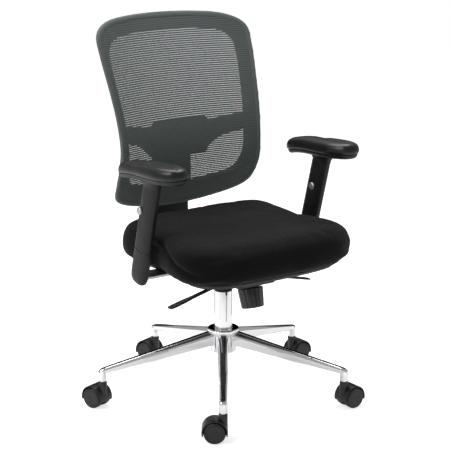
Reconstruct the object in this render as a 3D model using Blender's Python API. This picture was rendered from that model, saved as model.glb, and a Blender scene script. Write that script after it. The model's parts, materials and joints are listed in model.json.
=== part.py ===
"""Swivel office chair with a mesh back, height-adjustable arms and a five-star base.

Sizes are in metres, +Z is up and the sitter faces -Y, so the sitter's right is -X.
Pieces are modelled round the column axis, and the whole chair is then moved so that
the origin lies on the floor under the middle of its outline.
"""

import math

import bmesh
import bpy
from mathutils import Matrix, Vector

# Fits
GAP = 0.0003  # between pieces that touch or seat on each other
PRESS_GAP = 0.0006  # round a piece that is let into another
COLUMN_SEGMENTS = 24
PIN_SEGMENTS = 16

# Five-star base
BASE_RADIUS = 0.350  # column axis to caster stem
BASE_ANGLES = {"front_right": 234, "front_left": 306, "side_left": 18, "rear": 90, "side_right": 162}
HUB_BOTTOM = 0.131
HUB_TOP = 0.199
HUB_RADIUS = 0.0355
HUB_COLLAR_RADIUS = 0.0445
HUB_COLLAR_HEIGHT = 0.010
HUB_EDGE = 0.002  # chamfer
ARM_ROOT_WIDTH = 0.033
ARM_ROOT_HEIGHT = 0.041
ARM_ROOT_DROP = 0.005  # arm's top below the hub's top
ARM_TIP_WIDTH = 0.021
ARM_TIP_HEIGHT = 0.015
ARM_TIP_TOP = 0.112
BOSS_RADIUS = 0.0115
BOSS_BOTTOM = 0.0790

# Casters
TRAIL = 0.022
TRAIL_ANGLES = {"front_right": 144, "front_left": 0, "side_left": 0, "rear": 108, "side_right": 108}
WHEEL_RADIUS = 0.0295
WHEEL_WIDTH = 0.0212
WHEEL_SEGMENTS = 20
WEB_THICKNESS = 0.0110  # of the hood's middle plate, between the wheels
WHEEL_SIDE_GAP = 0.0006
FENDER_GAP = 0.0013
FENDER_THICKNESS = 0.0036
FENDER_WIDTH = 0.0500
FENDER_END_DROP = 0.009  # how far the fender reaches below the axle
AXLE_RADIUS = 0.0030
STEM_RADIUS = 0.0055
STEM_FLANGE_RADIUS = 0.0090
STEM_FLANGE_HEIGHT = 0.0018
STEM_SEAT = 0.0548  # bottom of the stem inside the hood
STEM_LENGTH_IN_BOSS = 0.0235
HOOD_BOSS_RADIUS = 0.0120

# Gas column
TUBE_RADIUS = 0.0250
TUBE_WALL = 0.0022
TUBE_TOP = 0.3075
TUBE_FLOOR = 0.0030
TUBE_TAPER = 0.0010  # loss of radius from the hub's top to its bottom
CYLINDER_RADIUS = 0.0140
CYLINDER_WALL = 0.0025
CYLINDER_BOTTOM = 0.1600
CYLINDER_TOP = 0.3620
CYLINDER_TAPER = 0.0008
BUSH_LENGTH = 0.0720
BUSH_RIM_HEIGHT = 0.0042
ROD_RADIUS = 0.0050
ROD_COLLAR_RADIUS = 0.0100
ROD_COLLAR_HEIGHT = 0.0040
PISTON_HEAD_BOTTOM = 0.3000
PISTON_HEAD_HEIGHT = 0.0080
BEARING_RADIUS = 0.0140
BEARING_HEIGHT = 0.0070
CLIP_RADIUS = 0.0085
CLIP_THICKNESS = 0.0012
PIN_RADIUS = 0.0025
PIN_TOP = 0.3710

# Tilt mechanism
HOUSING_HALF_WIDTH = 0.060
HOUSING_WALL = 0.003
HOUSING_BOTTOM = 0.3335
HOUSING_FRONT_BOTTOM = 0.3560
HOUSING_FRONT = -0.155
HOUSING_STEP = -0.104  # where the raised front floor begins
HOUSING_LEVER_BOTTOM = 0.3500  # under the levers
HOUSING_REAR = 0.068
HOUSING_REAR_TOP = 0.3560
SOCKET_RADIUS = 0.0195
TILT_Y = -0.040
TILT_Z = 0.3740
TILT_AXLE_RADIUS = 0.0060
PLATE_THICKNESS = 0.0040
PLATE_HALF_WIDTH = 0.095
PLATE_FRONT = -0.125
PLATE_REAR = 0.112
EAR_THICKNESS = 0.0035
EAR_RADIUS = 0.0095
SPRING_WIRE_RADIUS = 0.0024
SPRING_TURNS = 5
SPRING_LEG = 0.050
KNOB_Y = -0.124
KNOB_TOP = 0.3450
KNOB_LEAN = math.radians(14)
KNOB_HEIGHT = 0.055
KNOB_TOP_RADIUS = 0.0350
KNOB_BOTTOM_RADIUS = 0.0310
KNOB_FLUTES = 12
KNOB_FLUTE_DEPTH = 0.0016
NECK_RADIUS = 0.0250
BOLT_RADIUS = 0.0050
LEVER_Y = -0.085
LEVER_Z = 0.3605
LEVER_PIVOT_X = 0.0585
LEVER_REACH = 0.186
LEVER_DROP = math.radians(13)
LEVER_ROD_RADIUS = 0.0030
LEVER_ROD_X = 0.036  # from the column axis, where the rod turns rearwards inside the housing
PADDLE_LENGTH = 0.062
PADDLE_WIDTH = 0.0240
GRIP_WIDTH = 0.0150
GRIP_THICKNESS = 0.0070
GRIP_START = 0.010

# Seat
SEAT_OUTLINE = (
    (0.000, -0.312), (0.100, -0.310), (0.192, -0.294), (0.254, -0.247), (0.2760, -0.185),
    (0.2690, -0.110), (0.2590, -0.030), (0.2620, 0.050), (0.2590, 0.115), (0.2290, 0.165),
    (0.1400, 0.186), (0.000, 0.190),
)
SEAT_MIDDLE_Y = -0.061
CUSHION_BOTTOM = 0.4100
CUSHION_THICKNESS = 0.1000
CUSHION_REAR_RISE = 0.009
CUSHION_PROFILE = (  # inset from the outline, and share of the thickness
    (0.034, 0.0), (0.010, 0.10), (0.0, 0.36), (0.004, 0.70), (0.021, 0.93), (0.062, 1.01), (0.150, 0.985),
)
SEAT_DATUM = 0.410  # the cushion height that the heights of the back are given for
SHELL_THICKNESS = 0.0120
SHELL_INSET = 0.022
SHELL_BOTTOM = CUSHION_BOTTOM - GAP - SHELL_THICKNESS
SHELL_WALL_LEAN = 0.016  # how far the shell draws in from its rim to its bevel
PLATE_BOTTOM = SHELL_BOTTOM - GAP - PLATE_THICKNESS

# Back, at the height it has when the cushion's underside is at the datum
BACK_LIFT = CUSHION_BOTTOM - SEAT_DATUM
BACK_OUTLINE = (
    (0.000, 1.051), (0.120, 1.048), (0.200, 1.038), (0.2475, 1.010), (0.2525, 0.955),
    (0.2430, 0.845), (0.2335, 0.710), (0.2370, 0.610), (0.2150, 0.551), (0.1200, 0.519),
    (0.000, 0.507),
)
BACK_WINDOW = (
    (0.000, 1.004), (0.110, 1.002), (0.180, 0.993), (0.2130, 0.965), (0.2180, 0.915),
    (0.2130, 0.835), (0.2050, 0.710), (0.2020, 0.640), (0.1780, 0.598), (0.1000, 0.580),
    (0.000, 0.570),
)
LUMBAR_Z = 0.685  # height of the furthest forward point
LUMBAR_Y = 0.178
BEND_LENGTH = 0.120  # over which the back turns from tail to recline
RECLINE_SLOPE = 0.51
TAIL_SLOPE = 0.75
WRAP_LOW = 0.50  # how strongly the sides come forward, at the bottom
WRAP_GROWTH = 0.85
RAIL_DEPTH_TOP = 0.022
RAIL_DEPTH_WAIST = 0.036
RAIL_TAPER = 0.62  # how much narrower the rail is at its back, all of it on the outside
RAIL_DEPTH_LENGTH = 0.29
MESH_THICKNESS = 0.0016
MESH_STANDOFF = 0.0028  # in front of the frame
MESH_EDGE_SHARE = 0.10  # of the rail's width left bare at the edge
CROSSBAR_Y = 0.225
CROSSBAR_WRAP = 1.30
CROSSBAR_THICKNESS = 0.018
CROSSBAR_HALF_WIDTH = 0.220
CROSSBAR_LOW = 0.655
CROSSBAR_HIGH = 0.742
CROSSBAR_WING = 0.42  # share of the half width where the raised wings begin
WING_RISE = 0.033  # of the lower edge, from the middle to the wings
WING_END_RISE = 0.030  # of the lower edge, from there to the rails
WING_TOP_RISE = 0.024
SPINE_HALF_WIDTH = 0.0600
SPINE_FRONT = 0.240
SPINE_BACK = 0.268
SPINE_TOP = 0.700
SPINE_BOTTOM = 0.545
BAR_HALF_WIDTH = 0.0560
BAR_THICKNESS = 0.0120
BAR_FRONT = 0.2505
BAR_TOP = 0.620
BAR_BEND_RADIUS = 0.045
BAR_FOOT_FRONT = 0.118
BAR_FOOT_THICKNESS = 0.0064
LUMBAR_HALF_WIDTH = 0.094
LUMBAR_BOTTOM = 0.655
LUMBAR_TOP = 0.762
LUMBAR_THICKNESS = 0.0120
LUMBAR_GAP = 0.0008

# Arms
ARM_X = 0.2820  # middle of the upright where it meets the foot
ARM_FOOT_Y = -0.004
ARM_DROP = 0.0207  # bottom of the upright below the seat shell
ARM_BOTTOM = SHELL_BOTTOM - ARM_DROP
ARM_LEAN = math.radians(14.9)
ARM_FLARE = math.radians(0.3)
UPRIGHT_DEPTH = 0.064
UPRIGHT_WIDTH = 0.030
UPRIGHT_EXPONENT = 2.6
UPRIGHT_FOOT = ((0.0, 0.45), (0.005, 0.72), (0.014, 0.92), (0.030, 1.0))  # height and share of the section
SEAM = 0.101  # along the upright, from its bottom
SLEEVE_TOP = 0.305
SLEEVE_FLARE_LENGTH = 0.022
SLEEVE_FLARE = 0.006  # how much wider the sleeve is all round at its top
POST_DEPTH = 0.040
POST_WIDTH = 0.008
POST_BOTTOM = 0.0155
POST_TOP = SLEEVE_TOP - 0.0105
FOOT_THICKNESS = 0.0062
FOOT_DEPTH = 0.060
FOOT_INNER_X = 0.104
NOTCH_COUNT = 6
NOTCH_PITCH = 0.014
NOTCH_RADIUS = 0.0045
BUTTON_HEIGHT = 0.209  # along the upright
BUTTON_RADIUS = 0.0105
BUTTON_LENGTH = 0.0110
BUTTON_PROUD = 0.0045
BUTTON_TRAVEL = 0.0030
BUTTON_BACKSET = {"right": 0.020, "left": 0.002}
PAD_OUTLINE = (
    (0.000, -0.142), (0.0285, -0.130), (0.0440, -0.0870), (0.0430, -0.0310), (0.0360, 0.0335),
    (0.0305, 0.0895), (0.0195, 0.130), (0.000, 0.142),
)
PAD_PITCH = math.radians(3.3)  # front end up
PAD_DROOP = 0.013  # how far the rear end bends down
PAD_DROOP_START = 0.045  # behind the upright's middle
PAD_BASE_THICKNESS = 0.0130
PAD_BASE_INSET = 0.006
PAD_THICKNESS = 0.0330
PAD_BACKSET = 0.007  # middle of the pad behind the middle of the upright


# ---------------------------------------------------------------- scene and objects


def clear_scene():
    for obj in list(bpy.data.objects):
        bpy.data.objects.remove(obj, do_unlink=True)


def make_finish(name, colour, roughness, metallic=0.0):
    material = bpy.data.materials.new(name)
    material.use_nodes = True
    shader = material.node_tree.nodes["Principled BSDF"]
    shader.inputs["Base Color"].default_value = (*colour, 1.0)
    shader.inputs["Roughness"].default_value = roughness
    shader.inputs["Metallic"].default_value = metallic
    material.diffuse_color = (*colour, 1.0)
    return material


def add_empty(name, parent=None, location=(0, 0, 0), rotation=(0, 0, 0)):
    empty = bpy.data.objects.new(name, None)
    bpy.context.collection.objects.link(empty)
    empty.empty_display_size = 0.05
    empty.parent = parent
    empty.location = location
    empty.rotation_euler = rotation
    return empty


def link_mesh(name, bm, parent):
    bmesh.ops.recalc_face_normals(bm, faces=bm.faces)
    mesh = bpy.data.meshes.new(name)
    bm.to_mesh(mesh)
    bm.free()
    obj = bpy.data.objects.new(name, mesh)
    bpy.context.collection.objects.link(obj)
    obj.parent = parent
    return obj


def add_piece(name, bm, parent, finish):
    obj = link_mesh(name, bm, parent)
    obj.data.materials.append(finish)
    obj.data.shade_smooth()
    obj.data.set_sharp_from_angle(angle=math.radians(35))
    return obj


def add_tool(name, bm, parent):
    """A hidden solid that a Boolean joins to a piece or cuts from it."""
    tool = link_mesh(name, bm, parent)
    tool.hide_render = True
    tool.display_type = "WIRE"
    return tool


def combine(obj, operation, name, bm):
    modifier = obj.modifiers.new(name, "BOOLEAN")
    modifier.operation = operation
    modifier.object = add_tool(f"{obj.name}.{name}", bm, obj.parent)


def join(obj, name, bm):
    combine(obj, "UNION", name, bm)


def cut(obj, name, bm):
    combine(obj, "DIFFERENCE", name, bm)


# ---------------------------------------------------------------- shapes


def join_rings(bm, first, second):
    if len(first) == 1 and len(second) == 1:
        return
    count = max(len(first), len(second))
    for k in range(count):
        after = (k + 1) % count
        corners = [first[k % len(first)], first[after % len(first)]]
        corners += [second[after % len(second)], second[k % len(second)]]
        bm.faces.new(list(dict.fromkeys(corners)))


def turn(bm, profile, segments, matrix=Matrix()):
    """Adds a solid of revolution. The profile is a closed loop of (radius, height)."""
    rings = []
    for radius, height in profile:
        count = segments if radius > 0 else 1
        angles = [2 * math.pi * (k + 0.5) / segments for k in range(count)]
        points = [Vector((radius * math.cos(a), radius * math.sin(a), height)) for a in angles]
        rings.append([bm.verts.new(matrix @ point) for point in points])
    for ring, following in zip(rings, rings[1:] + rings[:1]):
        join_rings(bm, ring, following)
    return bm


def turned(profile, segments, matrix=Matrix()):
    return turn(bmesh.new(), profile, segments, matrix)


def cap(bm, ring, across):
    """Closes a ring with one face, or with a strip of faces across one that is symmetrical about its first point."""
    if not across:
        bm.faces.new(ring)
        return
    for k in range(len(ring) // 2):
        corners = [ring[k], ring[k + 1], ring[-k - 1], ring[-k]]
        bm.faces.new(list(dict.fromkeys(corners)))


def loft(bm, rings, matrix=Matrix(), closed=False, across=False):
    """Skins rings of points. The ends are capped, unless the rings go right round."""
    made = [[bm.verts.new(matrix @ Vector(point)) for point in ring] for ring in rings]
    for ring, following in zip(made, made[1:] + made[:1] if closed else made[1:]):
        join_rings(bm, ring, following)
    if not closed:
        cap(bm, made[0], across)
        cap(bm, made[-1], across)
    return bm


def lofted(rings, matrix=Matrix(), closed=False, across=False):
    return loft(bmesh.new(), rings, matrix, closed, across)


def block(bm, low, high, matrix=Matrix()):
    """Adds a box between two corners."""
    (x0, y0, z0), (x1, y1, z1) = low, high
    rings = [[(x0, y0, z), (x1, y0, z), (x1, y1, z), (x0, y1, z)] for z in (z0, z1)]
    return loft(bm, rings, matrix)


def rod(bm, start, end, radius, segments=PIN_SEGMENTS):
    """Adds a round bar from one point to another."""
    start, end = Vector(start), Vector(end)
    along = end - start
    matrix = Matrix.Translation(start) @ along.to_track_quat("Z", "Y").to_matrix().to_4x4()
    return turn(bm, [(0, 0), (radius, 0), (radius, along.length), (0, along.length)], segments, matrix)


def tube(bm, points, radius, sides):
    """Adds a round wire along a line of points, turning its section with the line."""
    points = [Vector(p) for p in points]
    heading = (points[1] - points[0]).normalized()
    side = heading.orthogonal().normalized()
    rings = []
    for k, point in enumerate(points):
        before = points[max(k - 1, 0)]
        after = points[min(k + 1, len(points) - 1)]
        turned_to = (after - before).normalized()
        side = (heading.rotation_difference(turned_to) @ side).normalized()
        heading = turned_to
        across = heading.cross(side)
        angles = [2 * math.pi * j / sides for j in range(sides)]
        rings.append([point + radius * (math.cos(a) * side + math.sin(a) * across) for a in angles])
    return loft(bm, rings)


def smooth_loop(half, steps):
    """A closed smooth outline. The given half runs from middle line to middle line at x >= 0."""
    points = [Vector(p) for p in half]
    points += [Vector((-p.x, p.y)) for p in reversed(points[1:-1])]
    outline = []
    for k in range(len(points)):
        a, b, c, d = (points[(k + j) % len(points)] for j in (-1, 0, 1, 2))
        for step in range(steps):
            t = step / steps
            bend = (2 * a - 5 * b + 4 * c - d) * t**2 + (3 * b - a - 3 * c + d) * t**3
            outline.append(0.5 * (2 * b + (c - a) * t + bend))
    return outline


def inset_loop(outline, distance):
    """The same outline moved inwards."""
    moved = []
    count = len(outline)
    for k, point in enumerate(outline):
        along = (outline[(k + 1) % count] - outline[k - 1]).normalized()
        moved.append(point + distance * Vector((-along.y, along.x)))
    return moved


def oval(half_x, half_y, exponent, count):
    """A rounded rectangle by the superellipse formula."""
    points = []
    for k in range(count):
        angle = 2 * math.pi * (k + 0.5) / count
        c, s = math.cos(angle), math.sin(angle)
        x = half_x * math.copysign(abs(c) ** (2 / exponent), c)
        y = half_y * math.copysign(abs(s) ** (2 / exponent), s)
        points.append((x, y))
    return points


# ---------------------------------------------------------------- base


def base_arm(angle):
    """One arm of the star, flat on top with sloping flanks, and the boss for its caster."""
    section = ((-0.30, 0), (0.30, 0), (0.50, -0.30), (0.42, -1.0), (-0.42, -1.0), (-0.50, -0.30))
    stations = (
        (HUB_RADIUS * 0.6, ARM_ROOT_WIDTH, ARM_ROOT_HEIGHT, HUB_TOP - ARM_ROOT_DROP),
        (BASE_RADIUS + BOSS_RADIUS, ARM_TIP_WIDTH, ARM_TIP_HEIGHT, ARM_TIP_TOP),
    )
    rings = [[(s, width * u, top + height * v) for u, v in section] for s, width, height, top in stations]
    return lofted(rings, Matrix.Rotation(angle, 4, "Z"))


def boss(angle, radius, bottom, top):
    place = Matrix.Rotation(angle, 4, "Z") @ Matrix.Translation((BASE_RADIUS, 0, 0))
    return turned([(0, bottom), (radius, bottom), (radius, top), (0, top)], PIN_SEGMENTS, place)


def build_star(chair, chrome):
    bore_top = TUBE_RADIUS + GAP
    bore_bottom = bore_top - TUBE_TAPER
    hub = [
        (0, HUB_BOTTOM),
        (HUB_RADIUS, HUB_BOTTOM),
        (HUB_RADIUS, HUB_TOP - 2 * HUB_COLLAR_HEIGHT),
        (HUB_COLLAR_RADIUS, HUB_TOP - HUB_COLLAR_HEIGHT),
        (HUB_COLLAR_RADIUS, HUB_TOP - HUB_EDGE),
        (HUB_COLLAR_RADIUS - HUB_EDGE, HUB_TOP),
        (0, HUB_TOP),
    ]
    star = add_piece("star_base", turned(hub, COLUMN_SEGMENTS), chair, chrome)
    socket_top = BOSS_BOTTOM + STEM_LENGTH_IN_BOSS + GAP
    for place, degrees in BASE_ANGLES.items():
        angle = math.radians(degrees)
        join(star, f"arm_{place}", base_arm(angle))
        join(star, f"boss_{place}", boss(angle, BOSS_RADIUS, BOSS_BOTTOM, ARM_TIP_TOP - 0.004))
        cut(star, f"socket_{place}", boss(angle, STEM_RADIUS + GAP, BOSS_BOTTOM - 0.01, socket_top))
    below, above = HUB_BOTTOM - 0.01, HUB_TOP + 0.01
    slope = TUBE_TAPER / (HUB_TOP - HUB_BOTTOM) * 0.01
    bore = [(0, below), (bore_bottom - slope, below), (bore_top + slope, above), (0, above)]
    cut(star, "bore", turned(bore, COLUMN_SEGMENTS))


def build_casters(chair, steel, plastic, tyre):
    for place, degrees in BASE_ANGLES.items():
        angle = math.radians(degrees)
        at = (BASE_RADIUS * math.cos(angle), BASE_RADIUS * math.sin(angle), 0)
        swivel = add_empty(f"caster_{place}_swivel", chair, at, (0, 0, math.radians(TRAIL_ANGLES[place])))
        build_stem(f"caster_{place}_stem", swivel, steel)
        build_hood(f"caster_{place}_hood", swivel, plastic)
        axle = add_empty(f"caster_{place}_axle_line", swivel, (TRAIL, 0, WHEEL_RADIUS))
        half = WEB_THICKNESS / 2 + WHEEL_SIDE_GAP + WHEEL_WIDTH * 0.7
        bar = rod(bmesh.new(), (0, -half, 0), (0, half, 0), AXLE_RADIUS)
        add_piece(f"caster_{place}_axle", bar, axle, steel)
        for side, sign in (("outer", -1), ("inner", 1)):
            add_piece(f"caster_{place}_wheel_{side}", wheel(sign, half), axle, tyre)


def build_stem(name, swivel, steel):
    flange = BOSS_BOTTOM - GAP - STEM_FLANGE_HEIGHT
    profile = [
        (0, STEM_SEAT),
        (STEM_RADIUS, STEM_SEAT),
        (STEM_RADIUS, flange),
        (STEM_FLANGE_RADIUS, flange),
        (STEM_FLANGE_RADIUS, flange + STEM_FLANGE_HEIGHT),
        (STEM_RADIUS, flange + STEM_FLANGE_HEIGHT),
        (STEM_RADIUS, BOSS_BOTTOM + STEM_LENGTH_IN_BOSS),
        (0, BOSS_BOTTOM + STEM_LENGTH_IN_BOSS),
    ]
    add_piece(name, turned(profile, PIN_SEGMENTS), swivel, steel)


def build_hood(name, swivel, plastic):
    """Fender, middle web and stem boss, cut from one drum round the axle."""
    axle = Matrix.Translation((TRAIL, 0, WHEEL_RADIUS)) @ Matrix.Rotation(math.pi / 2, 4, "X")
    inner = WHEEL_RADIUS / math.cos(math.pi / WHEEL_SEGMENTS) + FENDER_GAP
    outer = inner + FENDER_THICKNESS
    half = FENDER_WIDTH / 2
    web = WEB_THICKNESS / 2
    top = BOSS_BOTTOM - STEM_FLANGE_HEIGHT - 2 * GAP
    drum = [(0, -half), (outer, -half), (outer, half), (0, half)]
    hood = add_piece(name, turned(drum, WHEEL_SEGMENTS, axle), swivel, plastic)
    collar = [(0, WHEEL_RADIUS), (HOOD_BOSS_RADIUS, WHEEL_RADIUS), (HOOD_BOSS_RADIUS, top), (0, top)]
    join(hood, "boss", turned(collar, PIN_SEGMENTS))
    wide = outer + 0.01
    low = WHEEL_RADIUS - FENDER_END_DROP
    below = block(bmesh.new(), (TRAIL - wide, -half - 0.01, -0.02), (TRAIL + wide, half + 0.01, low))
    cut(hood, "underside", below)
    wells = bmesh.new()
    for sign in (-1, 1):
        near, far = sorted((sign * web, sign * (half + 0.01)))
        turn(wells, [(0, near), (inner, near), (inner, far), (0, far)], WHEEL_SEGMENTS, axle)
    cut(hood, "wheel_wells", wells)
    seat = STEM_SEAT - GAP
    hole = STEM_RADIUS + GAP
    stem_hole = [(0, seat), (hole, seat), (hole, top + 0.01), (0, top + 0.01)]
    cut(hood, "stem_hole", turned(stem_hole, PIN_SEGMENTS))
    bore = AXLE_RADIUS + GAP
    cut(hood, "axle_hole", turned([(0, -half), (bore, -half), (bore, half), (0, half)], PIN_SEGMENTS, axle))


def wheel(sign, axle_half):
    """A twin-caster wheel: a closed outer face, a flat tread and a blind bore."""
    near = WEB_THICKNESS / 2 + WHEEL_SIDE_GAP
    far = near + WHEEL_WIDTH
    tread = WHEEL_RADIUS / math.cos(math.pi / WHEEL_SEGMENTS)
    bore = (AXLE_RADIUS + GAP) / math.cos(math.pi / WHEEL_SEGMENTS)
    bore_end = axle_half + GAP
    profile = [
        (0, far),
        (tread - 0.0065, far),
        (tread - 0.0010, far - 0.0030),
        (tread, far - 0.0055),
        (tread, near + 0.0020),
        (tread - 0.0015, near),
        (bore, near),
        (bore, bore_end),
        (0, bore_end),
    ]
    return turned(profile, WHEEL_SEGMENTS, Matrix.Rotation(-sign * math.pi / 2, 4, "X"))


# ---------------------------------------------------------------- gas column


def build_column(chair, column, lift, chrome, steel, plastic):
    tube_bottom = HUB_BOTTOM + 0.0025
    tube_bore = TUBE_RADIUS - TUBE_WALL
    floor_top = tube_bottom + TUBE_FLOOR
    rod_hole = ROD_RADIUS + GAP
    guide = (CYLINDER_RADIUS + GAP) / math.cos(math.pi / COLUMN_SEGMENTS)
    stand = [
        (rod_hole, tube_bottom),
        (TUBE_RADIUS - TUBE_TAPER, tube_bottom),
        (TUBE_RADIUS, HUB_TOP),
        (TUBE_RADIUS, TUBE_TOP),
        (tube_bore, TUBE_TOP),
        (tube_bore, floor_top),
        (rod_hole, floor_top),
    ]
    add_piece("stand_tube", turned(stand, COLUMN_SEGMENTS), chair, chrome)
    rim = TUBE_TOP + GAP
    bush = [
        (guide, TUBE_TOP - BUSH_LENGTH),
        (tube_bore - GAP, TUBE_TOP - BUSH_LENGTH),
        (tube_bore - GAP, rim),
        (TUBE_RADIUS, rim),
        (TUBE_RADIUS, rim + BUSH_RIM_HEIGHT * 0.6),
        (TUBE_RADIUS - 0.0015, rim + BUSH_RIM_HEIGHT),
        (guide, rim + BUSH_RIM_HEIGHT),
    ]
    add_piece("guide_bush", turned(bush, COLUMN_SEGMENTS), chair, plastic)
    bearing_bottom = floor_top + GAP
    bearing_top = bearing_bottom + BEARING_HEIGHT
    bearing = [
        (rod_hole, bearing_bottom),
        (BEARING_RADIUS, bearing_bottom),
        (BEARING_RADIUS, bearing_top),
        (rod_hole, bearing_top),
    ]
    add_piece("thrust_bearing", turned(bearing, COLUMN_SEGMENTS), chair, steel)
    build_piston_rod(column, steel, tube_bottom, bearing_top)
    build_cylinder(lift, chrome)


def build_piston_rod(column, steel, tube_bottom, bearing_top):
    clip_top = tube_bottom - GAP
    clip_bottom = clip_top - CLIP_THICKNESS
    groove = ROD_RADIUS - 0.0008
    collar = bearing_top + GAP
    head = CYLINDER_RADIUS - CYLINDER_WALL - GAP
    profile = [
        (0, clip_bottom - 0.003),
        (ROD_RADIUS, clip_bottom - 0.003),
        (ROD_RADIUS, clip_bottom - GAP),
        (groove, clip_bottom - GAP),
        (groove, clip_top + GAP),
        (ROD_RADIUS, clip_top + GAP),
        (ROD_RADIUS, collar),
        (ROD_COLLAR_RADIUS, collar),
        (ROD_COLLAR_RADIUS, collar + ROD_COLLAR_HEIGHT),
        (ROD_RADIUS, collar + ROD_COLLAR_HEIGHT),
        (ROD_RADIUS, PISTON_HEAD_BOTTOM),
        (head, PISTON_HEAD_BOTTOM),
        (head, PISTON_HEAD_BOTTOM + PISTON_HEAD_HEIGHT),
        (0, PISTON_HEAD_BOTTOM + PISTON_HEAD_HEIGHT),
    ]
    add_piece("piston_rod", turned(profile, COLUMN_SEGMENTS), column, steel)
    opening = math.radians(70)
    steps = 14
    rings = []
    for k in range(steps + 1):
        a = opening / 2 + (2 * math.pi - opening) * k / steps
        near, far = groove + GAP, CLIP_RADIUS
        section = ((near, clip_bottom), (far, clip_bottom), (far, clip_top), (near, clip_top))
        rings.append([(r * math.cos(a), r * math.sin(a), z) for r, z in section])
    add_piece("retaining_clip", lofted(rings), column, steel)


def cylinder_outer(grow=0.0):
    """The outside of the pressure cylinder: straight, then tapered where it holds the mechanism."""
    return [
        (CYLINDER_RADIUS + grow, HOUSING_BOTTOM),
        (CYLINDER_RADIUS - CYLINDER_TAPER + grow, CYLINDER_TOP),
    ]


def build_cylinder(lift, chrome):
    bore = CYLINDER_RADIUS - CYLINDER_WALL
    gland = ROD_RADIUS + GAP
    gland_top = CYLINDER_BOTTOM + 0.012
    cap_bottom = CYLINDER_TOP - 0.012
    pin_hole = PIN_RADIUS + GAP
    profile = [
        (gland, CYLINDER_BOTTOM),
        (CYLINDER_RADIUS, CYLINDER_BOTTOM),
        *cylinder_outer(),
        (pin_hole, CYLINDER_TOP),
        (pin_hole, cap_bottom),
        (bore, cap_bottom),
        (bore, gland_top),
        (gland, gland_top),
    ]
    add_piece("pressure_cylinder", turned(profile, COLUMN_SEGMENTS), lift, chrome)


def build_release_pin(lift, steel):
    head_top = CYLINDER_TOP - 0.0125
    profile = [
        (0, head_top - 0.005),
        (PIN_RADIUS * 1.8, head_top - 0.005),
        (PIN_RADIUS * 1.8, head_top),
        (PIN_RADIUS, head_top),
        (PIN_RADIUS, PIN_TOP),
        (0, PIN_TOP),
    ]
    add_piece("release_pin", turned(profile, PIN_SEGMENTS), lift, steel)


# ---------------------------------------------------------------- mechanism


def housing_section(inset):
    """The pan's outline from the side. An inset moves the floor and ends in, and opens the top."""
    top = TILT_Z + EAR_RADIUS
    over = 0.02 if inset else 0.0
    return [
        (HOUSING_FRONT + inset, HOUSING_FRONT_BOTTOM + inset),
        (HOUSING_STEP + inset, HOUSING_FRONT_BOTTOM + inset),
        (HOUSING_STEP + 0.010 + inset, HOUSING_LEVER_BOTTOM + inset),
        (-SOCKET_RADIUS - 0.010 + inset, HOUSING_BOTTOM + inset),
        (HOUSING_REAR - 0.015 - inset, HOUSING_BOTTOM + inset),
        (HOUSING_REAR - inset, HOUSING_BOTTOM + 0.010 + inset),
        (HOUSING_REAR - inset, HOUSING_REAR_TOP + over),
        (TILT_Y + EAR_RADIUS, top + over),
        (HOUSING_FRONT + inset, top + over),
    ]


def knob_place(distance):
    """A point on the knob's axis, this far above the knob's top."""
    return Vector((0, KNOB_Y + distance * math.sin(KNOB_LEAN), KNOB_TOP + distance * math.cos(KNOB_LEAN)))


def build_housing(lift, cast):
    half = HOUSING_HALF_WIDTH
    inside = half - HOUSING_WALL
    shell = lofted([[(x, y, z) for y, z in housing_section(0)] for x in (-half, half)])
    housing = add_piece("mechanism_housing", shell, lift, cast)
    hollow = [[(x, y, z) for y, z in housing_section(HOUSING_WALL)] for x in (-inside, inside)]
    cut(housing, "hollow", lofted(hollow))
    socket_top = CYLINDER_TOP - 0.002
    low = HOUSING_BOTTOM
    socket = [(0, low), (SOCKET_RADIUS, low), (SOCKET_RADIUS, socket_top), (0, socket_top)]
    join(housing, "socket", turned(socket, COLUMN_SEGMENTS))
    (wide, base), (narrow, tip) = cylinder_outer(GAP)
    slope = (wide - narrow) / (tip - base)
    bore = [(0, low - 0.01), (wide + slope * 0.01, low - 0.01), (narrow, tip), (0, tip)]
    cut(housing, "socket_bore", turned(bore, COLUMN_SEGMENTS))
    neck = rod(bmesh.new(), knob_place(0.0008), knob_place(0.0150), NECK_RADIUS, COLUMN_SEGMENTS)
    join(housing, "neck", neck)
    bolt_hole = rod(bmesh.new(), knob_place(-0.01), knob_place(0.030), BOLT_RADIUS + GAP)
    cut(housing, "bolt_hole", bolt_hole)
    reach = half + 0.01
    axle_hole = rod(bmesh.new(), (-reach, TILT_Y, TILT_Z), (reach, TILT_Y, TILT_Z), TILT_AXLE_RADIUS + GAP)
    cut(housing, "axle_hole", axle_hole)
    reach = GRIP_WIDTH / 2 + 0.002
    slots = bmesh.new()
    for sign in (-1, 1):
        near, far = sorted((sign * (inside - 0.005), sign * (half + 0.005)))
        block(slots, (near, LEVER_Y - reach, LEVER_Z - 0.0062), (far, LEVER_Y + reach, LEVER_Z + 0.0085))
    cut(housing, "lever_slots", slots)


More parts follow.
